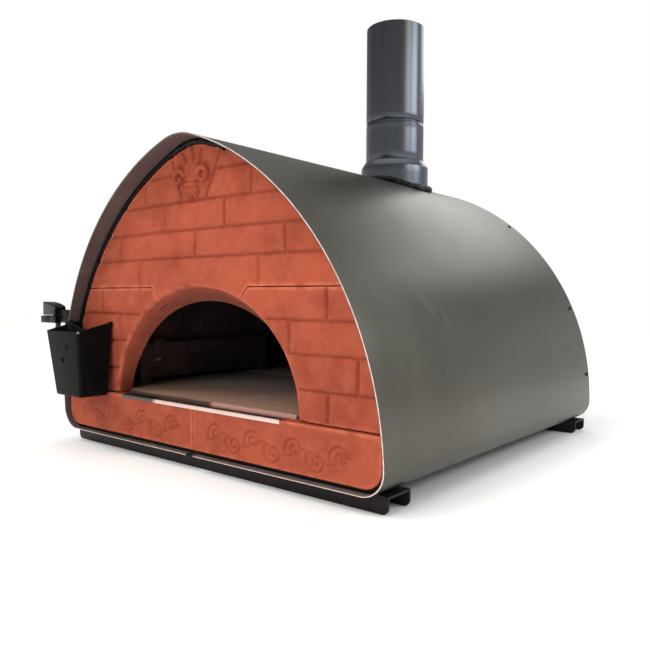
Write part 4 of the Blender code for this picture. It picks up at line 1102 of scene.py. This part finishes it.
def bead_tree():
    """Sweeps a round bead along a path and makes it lumpy."""
    g = Maker("bead_along_path", Radius="Float", Spacing="Float", Lump="Float", Lump_Scale="Float")
    path = g.node("GeometryNodeMeshToCurve", Mesh=g.inputs["Geometry"])
    even = g.node(
        "GeometryNodeResampleCurve", {"mode": "LENGTH"},
        Curve=path.outputs[0], Length=g.inputs["Spacing"],
    )
    profile = g.node("GeometryNodeCurvePrimitiveCircle", Resolution=12, Radius=g.inputs["Radius"])
    sweep = g.node(
        "GeometryNodeCurveToMesh",
        Curve=even.outputs[0], Profile_Curve=profile.outputs[0], Fill_Caps=True,
    )
    lumps = g.node("ShaderNodeTexNoise", Detail=3.0, Scale=g.inputs["Lump Scale"])
    amount = (Value(g.tree, lumps.outputs[0]) - 0.5) * Value(g.tree, g.inputs["Lump"])
    outwards = g.node("GeometryNodeInputNormal").outputs[0]
    push = g.node("ShaderNodeVectorMath", {"operation": "SCALE"}, Vector=outwards, Scale=amount)
    move = g.node("GeometryNodeSetPosition", Geometry=sweep.outputs[0], Offset=push.outputs[0])
    smooth = g.node("GeometryNodeSetShadeSmooth", Geometry=move.outputs[0])
    return g.close(smooth.outputs[0])


def fastener_tree():
    """Seats a copy of a head on each point, turned to the point's outward direction."""
    g = Maker("fasteners_on_points", Head="Object", Seed="Int")
    head = g.node("GeometryNodeObjectInfo", Object=g.inputs["Head"])
    way = g.node("GeometryNodeInputNamedAttribute", {"data_type": "FLOAT_VECTOR"}, Name="outwards")
    align = g.node("FunctionNodeAlignRotationToVector", {"axis": "Z"}, Vector=way.outputs["Attribute"])
    chance = g.node("FunctionNodeRandomValue", {"data_type": "FLOAT"}, Seed=g.inputs["Seed"])
    chance.inputs[3].default_value = 2 * pi
    twist = g.node("FunctionNodeAxisAngleToRotation", Axis=(0, 0, 1), Angle=chance.outputs[1])
    turn = g.node("FunctionNodeRotateRotation", {"rotation_space": "LOCAL"})
    g.feed(turn.inputs[0], align.outputs[0])
    g.feed(turn.inputs[1], twist.outputs[0])
    seat = g.node(
        "GeometryNodeInstanceOnPoints", Points=g.inputs["Geometry"],
        Instance=head.outputs["Geometry"], Rotation=turn.outputs[0],
    )
    return g.close(seat.outputs[0])


BEAD = bead_tree()
FASTENERS = fastener_tree()


def run_tree(name, mesh, tree, values, finish):
    """Runs a node group on a guide mesh and returns a plain piece."""
    piece = bpy.data.objects.new(name, mesh)
    bpy.context.scene.collection.objects.link(piece)
    change = piece.modifiers.new(tree.name, "NODES")
    change.node_group = tree
    for item in tree.interface.items_tree:
        if item.in_out == "INPUT" and item.name in values:
            change[item.identifier] = values[item.name]
    bpy.context.view_layer.update()
    plain(piece)
    if not piece.data.materials:
        piece.data.materials.append(FINISHES[finish])
    return piece


def bead(name, points, radius, spacing, lump, lump_scale, finish, closed=True):
    """A round bead along a path of points."""
    mesh = bpy.data.meshes.new(name)
    edges = [(i, i + 1) for i in range(len(points) - 1)]
    if closed:
        edges.append((len(points) - 1, 0))
    mesh.from_pydata(points, edges, [])
    values = {
        "Radius": radius, "Spacing": spacing, "Lump": lump,
        "Lump Scale": lump_scale, "Finish": FINISHES[finish],
    }
    return run_tree(name, mesh, BEAD, values, finish)


def fasteners(name, head, places, finish, seed):
    """Copies of a head at (position, outward direction) places."""
    mesh = bpy.data.meshes.new(name)
    mesh.from_pydata([place for place, _ in places], [], [])
    way = mesh.attributes.new("outwards", "FLOAT_VECTOR", "POINT")
    way.data.foreach_set("vector", [c for _, out in places for c in out])
    values = {"Head": head, "Seed": seed, "Finish": FINISHES[finish]}
    piece = run_tree(name, mesh, FASTENERS, values, finish)
    shade(piece.data, 35)
    return piece


def cross_head(radius, height, shank):
    """A pan head with a cross recess and a plain shank, seated at its own origin along +Z."""
    profile = [(radius * 0.36, -shank), (radius * 0.42, -shank + 0.0006), (radius * 0.42, 0.0), (radius, 0.0)]
    profile += [(radius, height * 0.35), (radius * 0.93, height * 0.68), (radius * 0.74, height * 0.92)]
    profile += [(radius * 0.5, height), (radius * 0.1, height * 1.02)]
    head = add_piece("cross_head", *loft([circle(r, z, 32) for r, z in profile]), "black_steel")
    arm, half, deep = radius * 0.55, radius * 0.13, height * 0.55
    plan = [(arm, -half), (arm, half), (half, half), (half, arm), (-half, arm), (-half, half)]
    plan += [(-arm, half), (-arm, -half), (-half, -half), (-half, -arm), (half, -arm), (half, -half)]
    low = [(x * 0.55, y * 0.55, height - deep) for x, y in plan]
    high = [(x, y, height * 1.2) for x, y in plan]
    return cut(head, *loft([low, high]))


def hex_head(radius, height, shank, shank_radius):
    """A hexagon head with chamfered corners and a washer face, seated at its own origin along +Z."""
    count = 24

    def rim(z):
        points = []
        for i in range(count):
            turn = 2 * pi * i / count
            reach = radius * cos(pi / 6) / cos((turn % (pi / 3)) - pi / 6)
            points.append((reach * cos(turn), reach * sin(turn), z))
        return points

    top = radius * cos(pi / 6) * 0.93
    loops = [circle(shank_radius, z, count) for z in (-shank, 0.0)]
    loops += [circle(top, 0.0, count), rim(height * 0.12), rim(height * 0.84)]
    loops += [circle(top, height, count), circle(top * 0.4, height, count)]
    return add_piece("hex_head", *loft(loops), "bright_steel")


def place_of(node):
    low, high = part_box(node)
    return (low + high) / 2


# ---------------------------------------------------------------- seals, screws and feet
def make_gasket():
    """Rope seal in the gap round the terracotta, with compound pressed over it at the crown."""
    y = FACE_Y + 0.0006
    path = [(x, y, z) for x, z in outline(0.0067, side_steps=60)]
    rope = bead("rope_seal", path, 0.0057, 0.004, 0.0034, 130, "black_seal")
    settle(rope, "oven", ("front_gasket",))
    crown = []
    for i in range(33):
        x = 0.090 - 0.165 * i / 32
        crown.append((x, FACE_Y - 0.0010, roof_z(0.0085, x)))
    smear = bead("crown_compound", crown, 0.0068, 0.003, 0.0110, 85, "flue_sealant", closed=False)
    settle(smear, "oven")


def seats(nodes, axis, level, out):
    """Where heads sit on a flat face across an axis, from their nodes' middles."""
    places = []
    for node in nodes:
        seat = place_of(node)
        seat[axis] = level
        places.append((seat, Vector(out)))
    return places


def casing_seats(nodes):
    """Where heads sit square to the casing's curved sheet."""
    y = place_of("casing_screw_crown").y
    places = []
    for node in nodes:
        centre = place_of(node)
        if node.endswith("crown"):
            out = Vector((0, 0, 1))
            seat = Vector((0, y, CASING_TOP))
        else:
            side = 1 if centre.x > 0 else -1
            out = Vector((centre.x - side * SIDE_X, 0, centre.z - CORNER_Z)).normalized()
            seat = Vector((side * SIDE_X, y, CORNER_Z)) + out * SIDE_RADIUS
        places.append((seat + out * SEAT_GAP, out))
    return places


def make_screws():
    """Cross-head screws of the casing and the pocket, and hexagon bolts."""
    pan = cross_head(0.0048, 0.0026, 0.008)
    small = hex_head(0.0048, 0.0030, 0.008, 0.0024)
    large = hex_head(0.0080, 0.0050, 0.016, 0.0039)
    casing = [f"casing_screw_{side}_{i}" for side in ("left", "right") for i in (1, 2, 3)]
    casing.append("casing_screw_crown")
    pocket = ["pocket_screw_1", "pocket_screw_2"]
    guard = ["guard_bolt_1", "guard_bolt_2"]
    feet = [f"foot_bolt_{row}_{side}" for row in ("front", "rear") for side in ("left", "right")]
    channel_sheet = 0.004
    on_pocket = seats(pocket, 1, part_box("pocket")[0].y - SEAT_GAP, (0, -1, 0))
    on_bracket = seats(guard, 0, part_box("guard_bracket")[1].x + SEAT_GAP, (1, 0, 0))
    under_web = seats(feet, 2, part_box("front_foot_channel")[1].z - channel_sheet - SEAT_GAP, (0, 0, -1))
    groups = (
        ("casing_screws", pan, casing, casing_seats(casing), "black_steel", 3, "oven"),
        ("pocket_screws", pan, pocket, on_pocket, "clamp_plastic", 8, "accessory"),
        ("guard_bolts", small, guard, on_bracket, "bright_steel", 5, "oven"),
        ("foot_bolts", large, feet, under_web, "bright_steel", 6, "oven"),
    )
    for name, head, nodes, places, finish, seed, body in groups:
        settle(fasteners(name, head, places, finish, seed), body, nodes)
    for head in (pan, small, large):
        bpy.data.objects.remove(head, do_unlink=True)


def make_feet():
    """The two channels, with bends and cut edges rounded."""
    for row in ("front", "rear"):
        softened(f"{row}_foot_channel", 0.0012, "black_steel", "oven")


# ---------------------------------------------------------------- floor and chamber
def make_floor():
    """Floor tiles and the strip over the sill."""
    for row in ("front", "rear"):
        for side in ("left", "right"):
            softened(f"floor_tile_{row}_{side}", 0.0011, "refractory", "oven")
    softened("hearth_strip", 0.0005, "strip_steel", "oven")


def make_guard():
    """The fire guard: a plate with a turned upper edge, its strap and feet."""
    low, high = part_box("fire_guard")
    hem = 0.0045
    joggle = 0.0025
    roll = [(joggle - hem * (1 - cos(t)), hem * (sin(t) - 1)) for t in (0.5, 1.0, pi / 2)]
    section = near(high.x, low.z, (-0.003, 0), (-0.0006, 0), (0, 0.0006))
    section += near(high.x, high.z, (0, -0.030), (joggle, -0.027), (joggle, -hem), *roll)
    section += near(high.x, high.z, (-0.006, 0), (-0.006, -0.0025), (-0.0025, -0.003))
    section += near(high.x, high.z, (-0.0010, -hem), (-0.0010, -0.025), (-0.003, -0.029))
    loops = []
    for i in range(31):
        y = low.y + (high.y - low.y) * i / 30
        sway = 0.0006 * noise.noise(Vector((0, y * 9, 4)))
        loops.append([(x + sway, y, z) for x, z in section])
    piece = add_piece("guard_plate", *loft(loops), "chamber_steel", 30)
    settle(piece, "oven", ("fire_guard",))
    for node in ("guard_bracket", "guard_foot_front", "guard_foot_rear"):
        softened(node, 0.0006, "chamber_steel", "oven")


# ---------------------------------------------------------------- flue
def tube(name, section, finish, smooth_angle, count=96):
    """A wall round the flue's axis from closed (radius, height) sections."""
    loops = []
    for i in range(count):
        turn = 2 * pi * i / count
        loops.append([(r * cos(turn), FLUE_Y + r * sin(turn), z) for r, z in section(turn)])
    return add_piece(name, *loft(loops, ring=True), finish, smooth_angle)


def make_flue():
    """Outlet, collar with its cone, sleeve with a rolled shoulder, and the upper pipe."""
    wall = 0.002
    outlet_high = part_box("flue_outlet")[1]
    collar_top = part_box("flue_collar")[1].z
    sleeve_low, sleeve_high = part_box("flue_sleeve")
    pipe_low, pipe_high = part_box("flue_pipe")
    radius = FLUE_RADIUS
    cone = 0.018
    shoulder = collar_top - cone

    def outlet(turn):
        size, top = outlet_high.x, outlet_high.z
        fall = roof_z(0.070, size * cos(turn)) - 0.004 - top
        return near(size, top, (0, fall), (0, -0.001), (-0.001, 0), (-wall, -0.001), (-wall, fall))

    def collar(turn):
        inner = COLLAR_RADIUS - wall
        foot, inner_foot = (roof_z(0.0, r * cos(turn)) + 0.0006 for r in (COLLAR_RADIUS, inner))
        bend = 0.0035
        section = [(COLLAR_RADIUS, foot)]
        section += near(COLLAR_RADIUS, shoulder, (0, -0.020), (0, -bend), (-0.0006, -0.0004), (-0.0024, bend))
        section += near(radius, collar_top, (0.0030, -0.0030), (0.0012, -0.0010), (0, 0), (-wall, 0))
        return section + [(inner, shoulder - 0.001), (inner, inner_foot)]

    def sleeve(turn):
        low, top = sleeve_low.z, sleeve_high.z
        section = near(radius, low, (-0.0008, 0), (0, 0.0010), (0, 0.020))
        section += near(radius, top, (0, -0.024), (0, -0.0102), (0.0003, -0.0090), (0, -0.0078))
        section += near(radius, top, (-0.0004, -0.0050), (-0.0011, -0.0022), (-0.0016, 0), (-wall, 0))
        return section + [(radius - wall, low)]

    def pipe(turn):
        joint = sleeve_high.z + 0.0003
        slim = radius - wall - 0.0030
        inner = slim - wall
        section = [(slim, pipe_low.z), (slim, joint + 0.0030)]
        section += near(radius, joint, (-0.0012, 0.0030), (0, 0.0044), (0, 0.02))
        section += near(radius, pipe_high.z, (0, -0.02), (0, -0.0008), (-0.001, 0), (-wall, -0.0008))
        return section + [(radius - wall, joint + 0.010), (inner, joint + 0.005), (inner, pipe_low.z)]

    walls = (
        ("outlet_spigot", outlet, 40, "oven", "flue_outlet"),
        ("collar_and_cone", collar, 50, "oven", "flue_collar"),
        ("lower_sleeve", sleeve, 50, "oven", "flue_sleeve"),
        ("upper_pipe", pipe, 50, "flue_pipe", "flue_pipe"),
    )
    for name, section, smooth_angle, body, node in walls:
        settle(tube(name, section, "flue_enamel", smooth_angle), body, (node,))

    ring = circle(COLLAR_RADIUS + 0.0026, 0.0, 120, FLUE_Y)
    foot = [(x, y, roof_z(0.0, x) + 0.0042) for x, y, _ in ring]
    fillet = bead("flue_fillet", foot, 0.0088, 0.0022, 0.0150, 90, "flue_sealant")
    settle(fillet, "oven", ("flue_sealant",))


# ---------------------------------------------------------------- pocket and clamp
def make_pocket():
    """The folded sheet pocket, with soft bends and a notched rim for the hanger."""
    low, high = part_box("pocket")
    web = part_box("hanger")[0].y
    hook_rear = web + 0.014
    front, sheet = low.y, 0.002
    slope = 0.022
    ear = 0.0055
    base, rise = low.z, high.z - slope
    bottom = {"right": -0.287, "width": 0.101, "depth": 0.069}
    upper = {"right": -0.297, "width": 0.134, "depth": 0.0865}

    def corner(cx, cy, radius, start, steps):
        turns = [start + pi / 2 * i / steps for i in range(steps + 1)]
        return [(cx + radius * cos(t), cy + radius * sin(t)) for t in turns]

    def marked(points):
        return [(x, y, "") for x, y in points]

    def plan(share, inset):
        right = bottom["right"] + (upper["right"] - bottom["right"]) * share
        width = bottom["width"] + (upper["width"] - bottom["width"]) * share
        depth = bottom["depth"] + (upper["depth"] - bottom["depth"]) * share
        left, rear = right - width, front + depth
        big, small = 0.0062 - inset, 0.0028 - inset
        x0, x1, y0, y1 = left + inset, right - inset, front + inset, rear - inset
        points = marked(corner(x1 - big, y0 + big, big, -pi / 2, 7))
        points += [(x, y, "ear") for x, y in corner(x1 - small, y1 - small, small, 0, 4)]
        back = [(x1 - 0.0060, ""), (x1 - 0.0062, "low"), (x0 + 0.0062, "low"), (x0 + 0.0060, "")]
        points += [(x, y1, kind) for x, kind in back]
        points += marked(corner(x0 + small, y1 - small, small, pi / 2, 4))
        notch = [(hook_rear, ""), (hook_rear - 0.0002, "notch"), (web - 0.0015, "notch"), (web - 0.0017, "")]
        points += [(x0, y, kind) for y, kind in notch]
        return points + marked(corner(x0 + small, y0 + small, small, pi, 4))

    def rim(y, kind):
        if kind == "notch":
            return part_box("hanger")[0].z - 0.001
        if kind == "low":
            return rise
        return rise + slope * (y - front) / upper["depth"]

    def loop(share, inset, lift=0.0):
        points = plan(min(share, 1.0), inset)
        placed = []
        for x, y, kind in points:
            if kind == "ear":
                x += ear * share ** 7
            placed.append((x, y, base + (rim(y, kind) + lift - base) * share))
        return placed

    shares = [0.0, 0.02, 0.06] + [0.12 + 0.11 * i for i in range(8)] + [0.985]
    edge = 0.0006
    loops = [loop(0.0, 0.0025)] + [loop(s, 0.0) for s in shares[1:]]
    loops += [loop(1.0, 0.0, -edge), loop(1.0, edge), loop(1.0, sheet - edge), loop(1.0, sheet, -edge)]
    loops += [loop(s, sheet) for s in reversed(shares[2:])]
    piece = add_piece("pocket_shell", *loft(loops), "pocket_enamel", 42)
    settle(piece, "accessory", ("pocket",))


def make_clamp():
    """Hanger, tab and clamp with rounded edges, and the lever's grey insert."""
    pieces = (
        ("hanger", 0.0006, "pocket_enamel", "accessory"),
        ("hanger_tab", 0.0005, "bright_steel", "accessory"),
        ("stem", 0.0006, "chamber_steel", "accessory"),
        ("clamp_block", 0.0010, "clamp_plastic", "clamp_head"),
        ("clamp_bar", 0.0016, "clamp_plastic", "clamp_head"),
        ("lever", 0.0012, "clamp_plastic", "clamp_lever"),
        ("lever_pin", 0.0004, "bright_steel", "clamp_lever"),
    )
    for node, width, finish, body in pieces:
        softened(node, width, finish, body)
    low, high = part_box("lever")
    inset = 0.003
    fall = 0.009
    left, right = low.x + inset, high.x - inset * 2
    base, top = low.z + inset, high.z - inset
    plan = [(left, base), (right, base)]
    for i in range(9):
        share = i / 8
        plan.append((right + (left - right) * share, top - fall + fall * sin(share * pi / 2)))
    middle_x, middle_z = (left + right) / 2, (base + top) / 2
    rounded = [(middle_x + (x - middle_x) * 0.97, middle_z + (z - middle_z) * 0.95) for x, z in plan]
    layers = ((plan, 0.0008), (plan, -0.0006), (rounded, -0.0010))
    loops = [[(x, low.y + back, z) for x, z in points] for points, back in layers]
    piece = add_piece("lever_insert_plate", *loft(loops), "lever_insert", 30)
    settle(piece, "clamp_lever")
    line = [(left, low.y - 0.0006, low.z + 0.0018), (right, low.y - 0.0006, low.z + 0.0018)]
    trim = bead("lever_trim", line, 0.0011, 0.004, 0.0, 50, "bright_steel", closed=False)
    settle(trim, "clamp_lever")


# ---------------------------------------------------------------- CAD nodes that stay
def dress_nodes():
    """Gives the nodes that stay visible their finishes."""
    groups = {
        "chamber_steel": ("chamber_shell", "chamber_back"),
        "insulation": ("insulation_board", "insulation_blanket", "rear_insulation"),
        "bright_steel": tuple(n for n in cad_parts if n.startswith("foot_nut")),
    }
    for finish, names in groups.items():
        for name in names:
            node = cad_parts[name]
            if not node.data.materials:
                node.data.materials.append(FINISHES[finish])
            for entry in node.material_slots:
                entry.material = FINISHES[finish]


# ---------------------------------------------------------------- stage, lights and camera
def make_stage():
    """A pale floor under a white surround."""
    vertices = [(-9, -9, 0), (9, -9, 0), (9, 9, 0), (-9, 9, 0)]
    mesh = bpy.data.meshes.new("studio_floor")
    mesh.from_pydata(vertices, [], [(0, 1, 2, 3)])
    f = Finish("studio_floor", Roughness=0.9, Specular_IOR_Level=0.1)
    f.set("Base Color", f.mix(f.noise(0.6, 2).step(0.3, 0.7), (0.93, 0.93, 0.93), (0.95, 0.95, 0.95)))
    mesh.materials.append(f.material)
    floor = bpy.data.objects.new("studio_floor", mesh)
    bpy.context.scene.collection.objects.link(floor)
    bpy.context.scene.world = make_surround()


def make_surround():
    """White to the camera; in reflections bright at the horizon, darker above it, soft overhead."""
    world = bpy.data.worlds.new("studio_surround")
    world.use_nodes = True
    tree = world.node_tree
    plain_white = tree.nodes["Background"]
    plain_white.inputs["Color"].default_value = (1, 1, 1, 1)
    plain_white.inputs["Strength"].default_value = 1.0
    g = Graph(tree)
    place = g.node("ShaderNodeTexCoord")
    split = g.node("ShaderNodeSeparateXYZ", Vector=place.outputs["Generated"])
    height = Value(tree, split.outputs["Z"])
    horizon = 0.50 * height.step(0.36, 0.14)
    overhead = 1.15 * height.step(0.55, 0.98)
    glow = 0.26 + horizon + overhead
    soft = g.node("ShaderNodeBackground", Color=(1.0, 0.99, 0.97, 1), Strength=glow)
    seen = g.node("ShaderNodeLightPath").outputs["Is Camera Ray"]
    either = g.node("ShaderNodeMixShader", Fac=seen)
    g.feed(either.inputs[1], soft.outputs[0])
    g.feed(either.inputs[2], plain_white.outputs[0])
    g.feed(tree.nodes["World Output"].inputs["Surface"], either.outputs[0])
    return world


def area_light(name, place, target, width, height, power, colour):
    data = bpy.data.lights.new(name, "AREA")
    data.shape = "RECTANGLE"
    data.size = width
    data.size_y = height
    data.energy = power
    data.color = colour
    light = bpy.data.objects.new(name, data)
    aim = Vector(target) - Vector(place)
    light.matrix_world = Matrix.Translation(place) @ aim.to_track_quat("-Z", "Y").to_matrix().to_4x4()
    bpy.context.scene.collection.objects.link(light)
    return light


def make_lights():
    """A soft key from the upper left, a fill into the mouth, a panel behind and two beside the flue."""
    data = bpy.data.lights.new("key", "SUN")
    data.energy = 1.4
    data.angle = radians(30)
    data.color = (1.0, 0.985, 0.96)
    key = bpy.data.objects.new("key", data)
    key.matrix_world = Vector((0.55, 0.62, -0.95)).to_track_quat("-Z", "Y").to_matrix().to_4x4()
    key.visible_glossy = False
    bpy.context.scene.collection.objects.link(key)
    fill = area_light("mouth_fill", (0.25, -1.4, 1.0), (0, 0.3, 0.17), 0.8, 0.8, 12, (1.0, 0.985, 0.96))
    fill.visible_glossy = False
    area_light("rear_panel_light", (0.1, 3.5, 2.15), (0.2, 0.6, 0.4), 2.6, 0.72, 15.5, (1.0, 0.995, 0.98))
    area_light("cool_panel", (2.75, FLUE_Y + 1.25, 1.85), (0, FLUE_Y, 0.95), 1.3, 1.0, 30, (0.84, 0.94, 1.0))
    area_light("warm_panel", (3.0, FLUE_Y - 0.18, 1.85), (0, FLUE_Y, 0.95), 1.1, 1.0, 17, (1.0, 0.93, 0.84))


def make_camera():
    data = bpy.data.cameras.new("camera")
    data.sensor_width = 36.0
    data.lens = 36.84
    camera = bpy.data.objects.new("camera", data)
    turn_left, look_down, lean = 39.58, 2.352, 0.28
    turn = Matrix.Rotation(radians(turn_left), 4, "Z") @ Matrix.Rotation(radians(90 - look_down), 4, "X")
    place = Matrix.Translation((1.0555, CASING_FRONT - 0.8496, 0.3512))
    camera.matrix_world = place @ turn @ Matrix.Rotation(radians(lean), 4, "Z")
    bpy.context.scene.collection.objects.link(camera)
    bpy.context.scene.camera = camera
    bpy.context.scene.view_settings.view_transform = "Standard"


make_camera()
make_lights()
make_stage()
make_casing()
make_rear_panel()
make_terracotta()
make_gasket()
make_screws()
make_feet()
make_floor()
make_guard()
make_flue()
make_pocket()
make_clamp()
dress_nodes()
